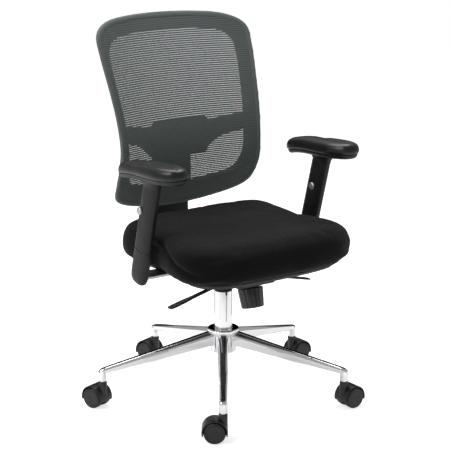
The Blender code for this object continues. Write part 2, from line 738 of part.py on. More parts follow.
def build_tilt_parts(lift, tilt, steel, spring_steel):
    ear_inner = HOUSING_HALF_WIDTH + PRESS_GAP
    ear_outer = ear_inner + EAR_THICKNESS
    plate_top = PLATE_BOTTOM + PLATE_THICKNESS
    low = (-PLATE_HALF_WIDTH, PLATE_FRONT - TILT_Y, PLATE_BOTTOM - TILT_Z)
    high = (PLATE_HALF_WIDTH, PLATE_REAR - TILT_Y, plate_top - TILT_Z)
    plate = add_piece("seat_plate", block(bmesh.new(), low, high), tilt, steel)
    for side, sign in (("right", -1), ("left", 1)):
        near, far = sorted((sign * ear_inner, sign * ear_outer))
        ear_top = low[2] + PLATE_THICKNESS / 2
        ear = block(bmesh.new(), (near, -EAR_RADIUS, -EAR_RADIUS), (far, EAR_RADIUS, ear_top))
        join(plate, f"ear_{side}", ear)
    reach = ear_outer + 0.004
    cut(plate, "axle_hole", rod(bmesh.new(), (-reach, 0, 0), (reach, 0, 0), TILT_AXLE_RADIUS + GAP))
    axle = rod(bmesh.new(), (-reach + 0.001, 0, 0), (reach - 0.001, 0, 0), TILT_AXLE_RADIUS)
    add_piece("tilt_axle", axle, tilt, steel)
    build_tilt_spring(lift, spring_steel)


def build_tilt_spring(lift, spring_steel):
    """A torsion spring round the axle, with one leg at the tension bolt and one under the plate."""
    coil = TILT_AXLE_RADIUS + SPRING_WIRE_RADIUS + 0.0020
    pitch = 2 * SPRING_WIRE_RADIUS + 0.0012
    start_x = 0.012
    per_turn = 12
    centre = Vector((start_x, TILT_Y, TILT_Z))
    points = [centre + Vector((0, -SPRING_LEG, -coil)), centre + Vector((0, -SPRING_LEG / 2, -coil))]
    for k in range(SPRING_TURNS * per_turn + 1):
        angle = 2 * math.pi * k / per_turn
        around = Vector((pitch * k / per_turn, coil * math.sin(angle), -coil * math.cos(angle)))
        points.append(centre + around)
    last = centre + Vector((pitch * SPRING_TURNS, 0, -coil))
    points += [last + Vector((0, SPRING_LEG / 2, 0)), last + Vector((0, SPRING_LEG * 0.7, 0))]
    add_piece("tilt_spring", tube(bmesh.new(), points, SPRING_WIRE_RADIUS, 6), lift, spring_steel)


def build_tension(lift, steel, plastic):
    bolt = bmesh.new()
    rod(bolt, knob_place(-0.040), knob_place(0.022), BOLT_RADIUS)
    add_piece("tension_bolt", bolt, lift, steel)
    axis = add_empty("tension_axis", lift, knob_place(0), (-KNOB_LEAN, 0, 0))
    count = KNOB_FLUTES * 4
    rings = []
    for height, radius, flute in (
        (-KNOB_HEIGHT, KNOB_BOTTOM_RADIUS - 0.003, 0.0),
        (-KNOB_HEIGHT + 0.003, KNOB_BOTTOM_RADIUS, KNOB_FLUTE_DEPTH),
        (-0.003, KNOB_TOP_RADIUS, KNOB_FLUTE_DEPTH),
        (0.0, KNOB_TOP_RADIUS - 0.003, 0.0),
    ):
        ring = []
        for k in range(count):
            r = radius - (flute if k % 4 == 0 else 0.0)
            a = 2 * math.pi * k / count
            ring.append((r * math.cos(a), r * math.sin(a), height))
        rings.append(ring)
    knob = add_piece("tension_knob", lofted(rings), axis, plastic)
    hole = BOLT_RADIUS + GAP
    cut(knob, "bolt_hole", turned([(0, -0.0403), (hole, -0.0403), (hole, 0.01), (0, 0.01)], PIN_SEGMENTS))


def grip(sign):
    """The moulded lever outside the housing, widening to a paddle at its end."""
    rings = []
    for along, width, thickness in (
        (GRIP_START, GRIP_WIDTH * 0.7, GRIP_THICKNESS),
        (LEVER_REACH - PADDLE_LENGTH * 1.4, GRIP_WIDTH, GRIP_THICKNESS),
        (LEVER_REACH - PADDLE_LENGTH * 0.9, PADDLE_WIDTH * 0.92, GRIP_THICKNESS * 0.8),
        (LEVER_REACH - 0.008, PADDLE_WIDTH, GRIP_THICKNESS * 0.75),
        (LEVER_REACH, PADDLE_WIDTH * 0.6, GRIP_THICKNESS * 0.6),
    ):
        section = oval(width / 2, thickness / 2, 4, 12)
        c, s = math.cos(LEVER_DROP), math.sin(LEVER_DROP)
        rings.append([(sign * (along * c + v * s), u, v * c - along * s) for u, v in section])
    return lofted(rings)


def build_levers(lift, steel, plastic):
    run = LEVER_PIVOT_X
    inner = -run + LEVER_ROD_X
    finger = PIN_TOP + LEVER_ROD_RADIUS + 0.0010 - LEVER_Z
    behind = -LEVER_Y
    fingertip = (-run - 0.004, behind, finger)
    shapes = {
        "lift_lever": (-1, [(inner, 0, 0), (inner, behind - 0.018, 0), (inner, behind, finger), fingertip]),
        "tilt_lock_lever": (1, [(inner, 0, 0), (inner, 0.020, 0)]),
    }
    for name, (sign, inside) in shapes.items():
        pivot = add_empty(f"{name}_pivot", lift, (sign * LEVER_PIVOT_X, LEVER_Y, LEVER_Z))
        lever = add_piece(name, grip(sign), pivot, plastic)
        outside = (0.040 * math.cos(LEVER_DROP), 0, -0.040 * math.sin(LEVER_DROP))
        path = [(sign * x, y, z) for x, y, z in [outside, (0.0, 0, 0), *inside]]
        join(lever, "rod", tube(bmesh.new(), path, LEVER_ROD_RADIUS, 8))


# ---------------------------------------------------------------- seat


def cushion_rings(outline):
    """Rings from the underside, round the bulging side, to the middle of the dished top."""
    rings = []
    for inset, height in CUSHION_PROFILE:
        ring = []
        for point in inset_loop(outline, inset):
            rear = max(0.0, (point.y - SEAT_MIDDLE_Y) / (outline_rear(outline) - SEAT_MIDDLE_Y))
            z = CUSHION_BOTTOM + height * CUSHION_THICKNESS + height * CUSHION_REAR_RISE * rear
            ring.append((point.x, point.y, z))
        rings.append(ring)
    return rings


def outline_rear(outline):
    return max(point.y for point in outline)


def build_seat(tilt, fabric, plastic):
    place = Matrix.Translation((0, -TILT_Y, -TILT_Z))
    outline = [Vector(p) for p in smooth_loop(SEAT_OUTLINE, 2)]
    add_piece("seat_cushion", lofted(cushion_rings(outline), place), tilt, fabric)
    shell_top = CUSHION_BOTTOM - GAP
    rings = []
    bevel = 0.006
    for inset, z in (
        (SHELL_INSET + SHELL_WALL_LEAN + bevel, SHELL_BOTTOM),
        (SHELL_INSET + SHELL_WALL_LEAN, shell_top - bevel / 2),
        (SHELL_INSET, shell_top),
    ):
        rings.append([(p.x, p.y, z) for p in inset_loop(outline, inset)])
    add_piece("seat_shell", lofted(rings, place), tilt, plastic)


# ---------------------------------------------------------------- back


def back_surface(x, z):
    """How far back the front face of the backrest lies, at this width and height."""
    slope = RECLINE_SLOPE if z > LUMBAR_Z else TAIL_SLOPE
    rise = (z - LUMBAR_Z) / BEND_LENGTH
    middle = LUMBAR_Y + slope * BEND_LENGTH * (math.sqrt(1 + rise**2) - 1)
    wrap = WRAP_LOW + WRAP_GROWTH * (z - BACK_OUTLINE[-1][1])
    return middle - wrap * x**2


def on_front(point):
    return Vector((point.x, back_surface(*point), point.y))


def rail_depth(z):
    down = min(1.0, (BACK_OUTLINE[0][1] - z) / RAIL_DEPTH_LENGTH)
    return RAIL_DEPTH_TOP + (RAIL_DEPTH_WAIST - RAIL_DEPTH_TOP) * down


def crossbar_front(x):
    return CROSSBAR_Y - CROSSBAR_WRAP * x**2


def crossbar_rings():
    """Wings from the side rails to the middle, each station a slice across the bar."""
    rings = []
    for share in (-1.0, -0.8, -0.6, -CROSSBAR_WING, -0.2, 0.0, 0.2, CROSSBAR_WING, 0.6, 0.8, 1.0):
        x = share * CROSSBAR_HALF_WIDTH
        wing = min(1.0, abs(share) / CROSSBAR_WING)
        outside = max(0.0, (abs(share) - CROSSBAR_WING) / (1 - CROSSBAR_WING))
        low = CROSSBAR_LOW + WING_RISE * wing**2 + WING_END_RISE * outside
        high = CROSSBAR_HIGH + WING_TOP_RISE * outside
        front = crossbar_front(x)
        back = front + CROSSBAR_THICKNESS
        rings.append([(x, front, low), (x, front, high), (x, back, high), (x, back, low)])
    return rings


def bar_rings(grow=0.0, foot=True):
    """The back bar as slices across its strip: the foot, the bend and the upright."""
    top = SHELL_BOTTOM - GAP - BACK_LIFT
    back = BAR_FRONT + BAR_THICKNESS
    centre = Vector((back - BAR_BEND_RADIUS, top - BAR_FOOT_THICKNESS + BAR_BEND_RADIUS))
    slices = []
    if foot:
        slices.append((Vector((BAR_FOOT_FRONT, top)), Vector((BAR_FOOT_FRONT, top - BAR_FOOT_THICKNESS))))
        steps = 5
        for k in range(steps + 1):
            angle = math.pi / 2 * k / steps
            thickness = BAR_FOOT_THICKNESS + (BAR_THICKNESS - BAR_FOOT_THICKNESS) * k / steps
            outward = Vector((math.sin(angle), -math.cos(angle)))
            inside = centre + (BAR_BEND_RADIUS - thickness) * outward
            slices.append((inside, centre + BAR_BEND_RADIUS * outward))
    else:
        slices.append((Vector((BAR_FRONT - grow, centre.y)), Vector((back + grow, centre.y))))
    slices.append((Vector((BAR_FRONT - grow, BAR_TOP + grow)), Vector((back + grow, BAR_TOP + grow))))
    half = BAR_HALF_WIDTH + grow
    return [[(-half, a.x, a.y), (half, a.x, a.y), (half, b.x, b.y), (-half, b.x, b.y)] for a, b in slices]


def build_back(tilt, fabric, plastic, cover):
    place = Matrix.Translation((0, -TILT_Y, BACK_LIFT - TILT_Z))
    outer = smooth_loop(BACK_OUTLINE, 2)
    inner = smooth_loop(BACK_WINDOW, 2)
    rings = []
    for a, b in zip(outer, inner):
        deep = Vector((0, rail_depth((a.y + b.y) / 2), 0))
        outside = on_front(a).lerp(on_front(b), RAIL_TAPER)
        rings.append([on_front(a), on_front(b), on_front(b) + deep, outside + deep])
    frame = add_piece("back_frame", lofted(rings, place, closed=True), tilt, plastic)
    join(frame, "crossbar", lofted(crossbar_rings(), place))
    low = (-SPINE_HALF_WIDTH, SPINE_FRONT, SPINE_BOTTOM)
    join(frame, "spine", block(bmesh.new(), low, (SPINE_HALF_WIDTH, SPINE_BACK, SPINE_TOP), place))
    cut(frame, "bar_socket", lofted(bar_rings(PRESS_GAP, foot=False), place))
    add_piece("back_bar", lofted(bar_rings(), place), tilt, plastic)
    build_mesh(tilt, fabric, place, outer, inner)
    build_lumbar(tilt, cover, place)


def build_mesh(tilt, fabric, place, outer, inner):
    """A thin sheet over the front of the frame, from its middle out to its edge and back."""
    middle = Vector((0, (BACK_OUTLINE[0][1] + BACK_OUTLINE[-1][1]) / 2))
    loops = []
    for share in (0.02, 0.40, 0.72, 1.0):
        loops.append([on_front(middle + (point - middle) * share) for point in inner])
    loops.append([on_front(a).lerp(on_front(b), MESH_EDGE_SHARE) for a, b in zip(outer, inner)])
    rings = [[p - Vector((0, MESH_STANDOFF, 0)) for p in loop] for loop in loops]
    rings += [[p - Vector((0, MESH_STANDOFF + MESH_THICKNESS, 0)) for p in loop] for loop in reversed(loops)]
    add_piece("back_mesh", lofted(rings, place), tilt, fabric)


def build_lumbar(tilt, cover, place):
    rings = []
    for share in (-1.0, -0.9, -0.5, 0.0, 0.5, 0.9, 1.0):
        x = share * LUMBAR_HALF_WIDTH
        trim = 0.010 if abs(share) == 1.0 else 0.0
        back = crossbar_front(x) - LUMBAR_GAP
        front = back - LUMBAR_THICKNESS
        low, high = LUMBAR_BOTTOM + trim, LUMBAR_TOP - trim
        rings.append([(x, front, low), (x, front, high), (x, back, high), (x, back, low)])
    add_piece("lumbar_pad", lofted(rings, place), tilt, cover)


# ---------------------------------------------------------------- arms


def upright_ring(along, scale=1.0, wider=0.0, level=0):
    """One oval slice of the upright. Level takes the arm's sign, for a slice that lies along the pad."""
    half_x = UPRIGHT_WIDTH / 2 * scale + wider
    half_y = UPRIGHT_DEPTH / 2 * scale + wider
    points = oval(half_x, half_y, UPRIGHT_EXPONENT, 16)
    lean = math.tan(ARM_LEAN + PAD_PITCH) * abs(level)
    flare = math.tan(ARM_FLARE) / math.cos(ARM_LEAN) * level
    return [(x, y, along - y * lean + x * flare) for x, y in points]


def arm_frame(sign):
    lean = Matrix.Rotation(ARM_LEAN, 4, "X")
    flare = Matrix.Rotation(sign * ARM_FLARE, 4, "Y")
    return flare @ lean


def post(bm, frame, grow, bottom, top):
    half_x = POST_WIDTH / 2 + grow
    half_y = POST_DEPTH / 2 + grow
    return block(bm, (-half_x, -half_y, bottom), (half_x, half_y, top), frame)


def foot(bm, sign, grow):
    top = SHELL_BOTTOM - GAP - ARM_BOTTOM
    near, far = sorted((sign * (FOOT_INNER_X - ARM_X - grow), sign * (POST_WIDTH / 2 + grow)))
    half = FOOT_DEPTH / 2 + grow
    return block(bm, (near, -half, top - FOOT_THICKNESS - grow), (far, half, top + grow))


def build_arm(side, sign, tilt, steel, plastic, cover, metal):
    at = (sign * ARM_X, ARM_FOOT_Y - TILT_Y, ARM_BOTTOM - TILT_Z)
    fixed = add_empty(f"arm_{side}_foot", tilt, at)
    frame = arm_frame(sign)
    bracket = add_piece(f"arm_{side}_bracket", foot(bmesh.new(), sign, 0), fixed, steel)
    join(bracket, "post", post(bmesh.new(), frame, 0, POST_BOTTOM, POST_TOP))
    notches = bmesh.new()
    for k in range(NOTCH_COUNT):
        z = BUTTON_HEIGHT + k * NOTCH_PITCH
        y = POST_DEPTH / 2
        rod(notches, frame @ Vector((-0.01, y, z)), frame @ Vector((0.01, y, z)), NOTCH_RADIUS, 8)
    cut(bracket, "notches", notches)

    rings = [upright_ring(s, scale) for s, scale in (*UPRIGHT_FOOT, (SEAM - GAP, 1.0))]
    shroud = add_piece(f"arm_{side}_shroud", lofted(rings, frame), fixed, plastic)
    cut(shroud, "post_slot", post(bmesh.new(), frame, PRESS_GAP, POST_BOTTOM - 0.001, SEAM + 0.01))
    cut(shroud, "foot_slot", foot(bmesh.new(), sign, PRESS_GAP))

    slide = add_empty(f"arm_{side}_slide", tilt, at, frame.to_euler())
    sleeve_bottom = SEAM + GAP
    rings = [
        upright_ring(sleeve_bottom),
        upright_ring(SLEEVE_TOP - SLEEVE_FLARE_LENGTH),
        upright_ring(SLEEVE_TOP - SLEEVE_FLARE_LENGTH * 0.3, 1.0, SLEEVE_FLARE * 0.4, level=sign),
        upright_ring(SLEEVE_TOP, 1.0, SLEEVE_FLARE, level=sign),
    ]
    sleeve = add_piece(f"arm_{side}_sleeve", lofted(rings), slide, plastic)
    cut(sleeve, "post_slot", post(bmesh.new(), Matrix(), GAP, sleeve_bottom - 0.01, POST_TOP + 0.0012))
    build_button(side, sleeve, slide, metal)
    build_pad(side, slide, frame, plastic, cover)


def build_button(side, sleeve, slide, metal):
    """A round push button in a blind pocket, on the side of the upright that faces -X."""
    backset = BUTTON_BACKSET[side]
    face = -UPRIGHT_WIDTH / 2
    inner = face - BUTTON_PROUD + BUTTON_LENGTH
    spot = Matrix.Translation((0, backset, BUTTON_HEIGHT)) @ Matrix.Rotation(math.pi / 2, 4, "Y")
    pocket_end = inner + BUTTON_TRAVEL + 2 * GAP
    hole = BUTTON_RADIUS + 2 * GAP
    pocket = [(0, face - 0.01), (hole, face - 0.01), (hole, pocket_end), (0, pocket_end)]
    cut(sleeve, "button_pocket", turned(pocket, PIN_SEGMENTS, spot))
    outside = face - BUTTON_PROUD
    profile = [
        (0, outside),
        (BUTTON_RADIUS * 0.8, outside),
        (BUTTON_RADIUS, outside + 0.0018),
        (BUTTON_RADIUS, inner),
        (0, inner),
    ]
    add_piece(f"arm_{side}_button", turned(profile, PIN_SEGMENTS, spot), slide, metal)


def pad_ring(outline, inset, height):
    """The pad's outline moved inwards at this height, with its rear end bent down."""
    rear = max(p.y for p in outline)
    ring = []
    for p in inset_loop(outline, inset):
        share = max(0.0, (p.y - PAD_DROOP_START) / (rear - PAD_DROOP_START))
        ring.append((p.x, p.y, height - PAD_DROOP * share**2))
    return ring


def build_pad(side, slide, frame, plastic, cover):
    turn_back = frame.inverted() @ Matrix.Rotation(-PAD_PITCH, 4, "X")
    level = add_empty(f"arm_{side}_pad_seat", slide, (0, 0, SLEEVE_TOP), turn_back.to_euler())
    outline = [Vector(p) + Vector((0, PAD_BACKSET)) for p in smooth_loop(PAD_OUTLINE, 2)]
    base_top = GAP + PAD_BASE_THICKNESS
    rings = []
    for inset, z in ((0.016, GAP), (PAD_BASE_INSET, 0.006), (PAD_BASE_INSET * 0.6, base_top)):
        rings.append(pad_ring(outline, inset, z))
    add_piece(f"arm_{side}_pad_base", lofted(rings, across=True), level, plastic)
    pad_bottom = base_top + GAP
    rings = []
    for inset, share in ((0.003, 0.0), (0.0, 0.30), (0.0015, 0.62), (0.009, 0.90), (0.020, 1.0)):
        rings.append(pad_ring(outline, inset, pad_bottom + share * PAD_THICKNESS))
    add_piece(f"arm_{side}_pad", lofted(rings, across=True), level, cover)


# ---------------------------------------------------------------- whole chair


def centre_on_floor(chair):
    """Puts the origin on the floor, under the middle of the chair's outline."""
    bpy.context.view_layer.update()
    graph = bpy.context.evaluated_depsgraph_get()
    points = []
    for obj in bpy.data.objects:
        if obj.type != "MESH" or obj.hide_render:
            continue
        shape = obj.evaluated_get(graph)
        mesh = shape.to_mesh()
        points += [shape.matrix_world @ vertex.co for vertex in mesh.vertices]
        shape.to_mesh_clear()
    middle = [(min(p[axis] for p in points) + max(p[axis] for p in points)) / 2 for axis in (0, 1)]
    chair.location = (-middle[0], -middle[1], -min(p.z for p in points))


def build_chair():
    clear_scene()
    chrome = make_finish("chrome", (0.80, 0.80, 0.81), 0.08, 1.0)
    steel = make_finish("steel", (0.55, 0.55, 0.56), 0.35, 1.0)
    spring_steel = make_finish("spring_steel", (0.30, 0.30, 0.31), 0.4, 1.0)
    cast = make_finish("black_metal", (0.020, 0.020, 0.021), 0.45)
    plastic = make_finish("black_plastic", (0.022, 0.022, 0.024), 0.40)
    tyre = make_finish("wheel_nylon", (0.025, 0.025, 0.027), 0.38)
    cover = make_finish("soft_pad", (0.018, 0.018, 0.019), 0.35)
    fabric = make_finish("seat_fabric", (0.010, 0.010, 0.011), 0.95)
    mesh = make_finish("back_mesh", (0.13, 0.14, 0.14), 0.85)
    metal = make_finish("button_metal", (0.60, 0.60, 0.61), 0.25, 1.0)

    chair = add_empty("chair")
    column = add_empty("column_axis", chair)
    lift = add_empty("lift_axis", column)
    tilt = add_empty("tilt_axis", lift, (0, TILT_Y, TILT_Z))
    build_star(chair, chrome)
    build_casters(chair, steel, plastic, tyre)
    build_column(chair, column, lift, chrome, steel, plastic)
    build_release_pin(lift, steel)
    build_housing(lift, cast)
    build_tilt_parts(lift, tilt, cast, spring_steel)
    build_tension(lift, steel, plastic)
    build_levers(lift, steel, plastic)
    build_seat(tilt, fabric, plastic)
    build_back(tilt, mesh, plastic, cover)
    build_arm("right", -1, tilt, steel, plastic, cover, metal)
    build_arm("left", 1, tilt, steel, plastic, cover, metal)
    centre_on_floor(chair)


build_chair()
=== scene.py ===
"""Looks of a swivel office chair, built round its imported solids.

Shapes are made round the column axis, in metres, with +Z up and the sitter facing -Y.
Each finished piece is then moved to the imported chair's column and rides on its body.
"""

import json
import math

import bmesh
import bpy
import numpy as np
from mathutils import Matrix, Vector, noise


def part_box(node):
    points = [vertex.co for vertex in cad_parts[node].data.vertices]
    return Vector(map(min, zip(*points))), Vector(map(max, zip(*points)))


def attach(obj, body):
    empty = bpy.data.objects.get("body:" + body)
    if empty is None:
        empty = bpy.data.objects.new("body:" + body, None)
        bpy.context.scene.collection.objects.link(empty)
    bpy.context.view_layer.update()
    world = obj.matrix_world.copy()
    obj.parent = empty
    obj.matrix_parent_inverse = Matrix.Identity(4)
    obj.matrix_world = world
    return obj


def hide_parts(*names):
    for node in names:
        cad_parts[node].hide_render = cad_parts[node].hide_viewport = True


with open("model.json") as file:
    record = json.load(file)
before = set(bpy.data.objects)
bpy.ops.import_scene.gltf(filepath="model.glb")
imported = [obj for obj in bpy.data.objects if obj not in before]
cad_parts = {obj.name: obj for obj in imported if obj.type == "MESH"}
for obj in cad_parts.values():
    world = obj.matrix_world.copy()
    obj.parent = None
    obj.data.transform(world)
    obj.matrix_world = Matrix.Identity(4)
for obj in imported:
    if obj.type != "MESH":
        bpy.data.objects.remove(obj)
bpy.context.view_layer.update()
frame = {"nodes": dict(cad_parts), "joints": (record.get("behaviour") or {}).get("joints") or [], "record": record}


def middle_of(node):
    low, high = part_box(node)
    return (low + high) / 2


def joint_named(name):
    return next(joint for joint in frame["joints"] if joint["name"] == name)


COLUMN = middle_of("stand_tube")
AXIS = Vector((COLUMN.x, COLUMN.y, 0))
TO_CHAIR = Matrix.Translation(AXIS)
ROOM_LIGHT = 0.36  # how bright the room is, against its white background
FLOOR_HALF = 40.0
PLACES = ("front_right", "front_left", "side_left", "rear", "side_right")
SIDES = {"right": -1, "left": 1}
GAP = 0.0003  # between pieces that fit together

# Base and column
HUB_BOTTOM_RING = 0.131
HUB_TOP = 0.199
HUB_RADIUS = 0.0355
COLLAR_RADIUS = 0.0445
COLLAR_HEIGHT = 0.010
BASE_RADIUS = 0.350
ARM_SECTION = ((-0.30, 0), (0.30, 0), (0.50, -0.30), (0.42, -1.0), (-0.42, -1.0), (-0.50, -0.30))
ARM_ROOT = (0.033, 0.041, 0.194)  # width, height and top of a base arm at the hub
ARM_TIP = (0.021, 0.015, 0.112)
BOSS_RADIUS = 0.0115
TUBE_RADIUS = 0.0250
TUBE_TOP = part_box("stand_tube")[1].z
CYLINDER_RADIUS = 0.0140

# Casters
TRAIL = 0.022
WHEEL_RADIUS = 0.0295
WHEEL_INNER_FACE = 0.0061
WHEEL_OUTER_FACE = 0.0273
FENDER_INNER = 0.0313
FENDER_OUTER = 0.0346
FENDER_HALF_WIDTH = 0.0250
HOOD_WEB = 0.0055
HOOD_TOP = 0.0766

# Mechanism
LEVER_DROP = math.radians(13)

# Seat
SEAT_OUTLINE = (
    (0.000, -0.312), (0.100, -0.310), (0.192, -0.294), (0.254, -0.247), (0.2760, -0.185),
    (0.2690, -0.110), (0.2590, -0.030), (0.2620, 0.050), (0.2590, 0.115), (0.2290, 0.165),
    (0.1400, 0.186), (0.000, 0.190),
)
CUSHION_THICKNESS = 0.100
CUSHION_REAR_RISE = 0.009
CUSHION_PROFILE = (  # inset from the outline, and share of the thickness
    (0.034, 0.0), (0.010, 0.10), (0.0, 0.36), (0.004, 0.70), (0.021, 0.93), (0.062, 1.01), (0.150, 0.985),
)
COVER_SLACK = 0.003  # how much smaller the cover starts, before it is blown up
SHELL_LOW, SHELL_HIGH = (corner.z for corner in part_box("seat_shell"))
PLATE_UNDERSIDE = SHELL_LOW - 0.0043
CUSHION_RISE_START = -0.061
COVER_WIDENING = 0.036  # how much wider than the solid cushion the cover is at its front

# Back
BACK_OUTLINE = (
    (0.000, 1.051), (0.120, 1.048), (0.200, 1.038), (0.2475, 1.010), (0.2525, 0.955),
    (0.2430, 0.845), (0.2335, 0.710), (0.2370, 0.610), (0.2150, 0.551), (0.1200, 0.519),
    (0.000, 0.507),
)
BACK_WINDOW = (
    (0.000, 1.004), (0.110, 1.002), (0.180, 0.993), (0.2130, 0.965), (0.2180, 0.915),
    (0.2130, 0.835), (0.2050, 0.710), (0.2020, 0.640), (0.1780, 0.598), (0.1000, 0.580),
    (0.000, 0.570),
)
LUMBAR_Z = 0.685
LUMBAR_Y = 0.178
BEND_LENGTH = 0.120
RECLINE_SLOPE = 0.51
TAIL_SLOPE = 0.75
WRAP_LOW = 0.50
WRAP_GROWTH = 0.85
RAIL_DEPTH = (0.022, 0.036)  # at the top, and from the waist down
RAIL_DEPTH_LENGTH = 0.29
RAIL_TAPER = 0.62  # how much narrower the rail is at its back
NET_STANDOFF = 0.0032
NET_ROW = 0.0058
NET_COLUMN = 0.0026
NET_REACH = 0.0015  # how far the net goes past the outline, under its hem
NET_HALF_WIDTH = 0.26
BAR_HALF_WIDTH = 0.056
CROSSBAR_Y = 0.225
CROSSBAR_WRAP = 1.30
CROSSBAR_THICKNESS = 0.018
CROSSBAR_HALF_WIDTH = 0.214

# Arms
ARM_X = 0.2820
ARM_FOOT_Y = -0.004
ARM_BOTTOM = 0.377
ARM_LEAN = math.radians(14.9)
ARM_FLARE = math.radians(0.3)
UPRIGHT_DEPTH = 0.064
UPRIGHT_WIDTH = 0.030
UPRIGHT_EXPONENT = 2.6
SEAM = 0.101
SLEEVE_TOP = 0.305
BUTTON_HEIGHT = 0.209
BUTTON_BACKSET = {"right": 0.020, "left": 0.002}
BUTTON_RADIUS = 0.0105
PAD_OUTLINE = (
    (0.000, -0.142), (0.0285, -0.130), (0.0440, -0.0870), (0.0430, -0.0310), (0.0360, 0.0335),
    (0.0305, 0.0895), (0.0195, 0.130), (0.000, 0.142),
)
PAD_BACKSET = 0.007
PAD_PITCH = math.radians(3.3)
PAD_DROOP = 0.013
PAD_DROOP_START = 0.045
PAD_REACH = PAD_OUTLINE[-1][1]
PAD_BOTTOM = 0.0136
PAD_TOP = 0.0466


# ---------------------------------------------------------------- shader tools


def add_node(tree, kind, inputs=(), **settings):
    """A node with its settings made and its sockets set or linked, by name or number."""
    made = tree.nodes.new(kind)
    for key, value in settings.items():
        setattr(made, key, value)
    for key, value in dict(inputs).items():
        if isinstance(value, bpy.types.NodeSocket):
            tree.links.new(value, made.inputs[key])
        else:
            made.inputs[key].default_value = value
    return made


def calculate(tree, operation, *values):
    return add_node(tree, "ShaderNodeMath", dict(enumerate(values)), operation=operation).outputs[0]


def remap(tree, value, low, high, to_low, to_high):
    inputs = {"Value": value, "From Min": low, "From Max": high, "To Min": to_low, "To Max": to_high}
    return add_node(tree, "ShaderNodeMapRange", inputs).outputs["Result"]


def new_group(name, inputs, outputs):
    """An empty shader node group with number inputs. It returns the tree, its input and its output node."""
    tree = bpy.data.node_groups.new(name, "ShaderNodeTree")
    for label, value in inputs.items():
        tree.interface.new_socket(label, in_out="INPUT", socket_type="NodeSocketFloat").default_value = value
    for label in outputs:
        tree.interface.new_socket(label, in_out="OUTPUT", socket_type="NodeSocketFloat")
    return tree, tree.nodes.new("NodeGroupInput").outputs, tree.nodes.new("NodeGroupOutput").inputs


def object_point(tree):
    return add_node(tree, "ShaderNodeTexCoord").outputs["Object"]


def inverse(tree, value):
    return calculate(tree, "DIVIDE", 1.0, value)


def noise_field(tree, scale, detail=2.0):
    inputs = {"Vector": object_point(tree), "Scale": scale, "Detail": detail}
    return add_node(tree, "ShaderNodeTexNoise", inputs).outputs["Fac"]


def moulded_grain():
    """The fine sparkle of a textured mould: a height, and a shade that wanders over the piece."""
    inputs = {"Grain Size": 0.0008, "Patch Size": 0.06}
    tree, given, out = new_group("moulded grain", inputs, ("Height", "Shade"))
    tree.links.new(noise_field(tree, inverse(tree, given["Grain Size"])), out["Height"])
    tree.links.new(noise_field(tree, inverse(tree, given["Patch Size"]), 3.0), out["Shade"])
    return tree


def skin_grain():
    """Small pebbles with creases between them, as on a moulded pad's skin."""
    tree, given, out = new_group("skin grain", {"Pebble Size": 0.0016}, ("Height",))
    inputs = {"Vector": object_point(tree), "Scale": inverse(tree, given["Pebble Size"])}
    cells = add_node(tree, "ShaderNodeTexVoronoi", inputs, feature="SMOOTH_F1")
    pebble = remap(tree, cells.outputs["Distance"], 0.1, 0.7, 1.0, 0.0)
    tree.links.new(pebble, out["Height"])
    return tree


def handling_marks():
    """Roughness between two values, in soft smears."""
    inputs = {"Smear Size": 0.05, "Least": 0.2, "Most": 0.3}
    tree, given, out = new_group("handling marks", inputs, ("Roughness",))
    smears = noise_field(tree, inverse(tree, given["Smear Size"]), 4.0)
    tree.links.new(remap(tree, smears, 0.3, 0.7, given["Least"], given["Most"]), out["Roughness"])
    return tree


def edge_wear():
    """A mask of the edges that hands and shoes rub, broken up by noise."""
    tree, given, out = new_group("edge wear", {"Amount": 0.5}, ("Mask",))
    edges = remap(tree, add_node(tree, "ShaderNodeNewGeometry").outputs["Pointiness"], 0.53, 0.62, 0.0, 1.0)
    broken = remap(tree, noise_field(tree, 60.0, 5.0), 0.45, 0.65, 0.0, 1.0)
    mask = calculate(tree, "MULTIPLY", calculate(tree, "MULTIPLY", edges, broken), given["Amount"])
    tree.links.new(mask, out["Mask"])
    return tree


def settled_dust():
    """A mask of light dust on faces that look up."""
    tree, given, out = new_group("settled dust", {"Amount": 0.1}, ("Mask",))
    normal = add_node(tree, "ShaderNodeNewGeometry").outputs["Normal"]
    up = add_node(tree, "ShaderNodeSeparateXYZ", {0: normal}).outputs["Z"]
    facing = remap(tree, up, 0.5, 1.0, 0.0, 1.0)
    broken = remap(tree, noise_field(tree, 140.0, 6.0), 0.4, 0.75, 0.0, 1.0)
    mask = calculate(tree, "MULTIPLY", calculate(tree, "MULTIPLY", facing, broken), given["Amount"])
    tree.links.new(mask, out["Mask"])
    return tree


def knitted_cloth():
    """Tight stitches in rows: a height, and a shade that differs a little from stitch to stitch."""
    tree, given, out = new_group("knitted cloth", {"Stitch Size": 0.0013}, ("Height", "Shade"))
    scale = inverse(tree, given["Stitch Size"])
    inputs = {"Vector": object_point(tree), "Scale": scale, "Randomness": 0.35}
    cells = add_node(tree, "ShaderNodeTexVoronoi", inputs)
    tree.links.new(remap(tree, cells.outputs["Distance"], 0.0, 0.75, 1.0, 0.0), out["Height"])
    tint = add_node(tree, "ShaderNodeSeparateXYZ", {0: cells.outputs["Color"]}).outputs["X"]
    drift = calculate(tree, "MULTIPLY", noise_field(tree, 9.0, 3.0), 0.6)
    shade = calculate(tree, "ADD", calculate(tree, "MULTIPLY", tint, 0.4), drift)
    tree.links.new(shade, out["Shade"])
    return tree


def brushed_lines():
    """Fine lines round or along a metal piece."""
    tree, given, out = new_group("brushed lines", {"Line Size": 0.0004}, ("Height",))
    stretched = add_node(tree, "ShaderNodeMapping", {"Vector": object_point(tree), "Scale": (1.0, 0.04, 1.0)})
    scale = inverse(tree, given["Line Size"])
    inputs = {"Vector": stretched.outputs["Vector"], "Scale": scale, "Detail": 2.0}
    lines = add_node(tree, "ShaderNodeTexNoise", inputs)
    tree.links.new(lines.outputs["Fac"], out["Height"])
    return tree


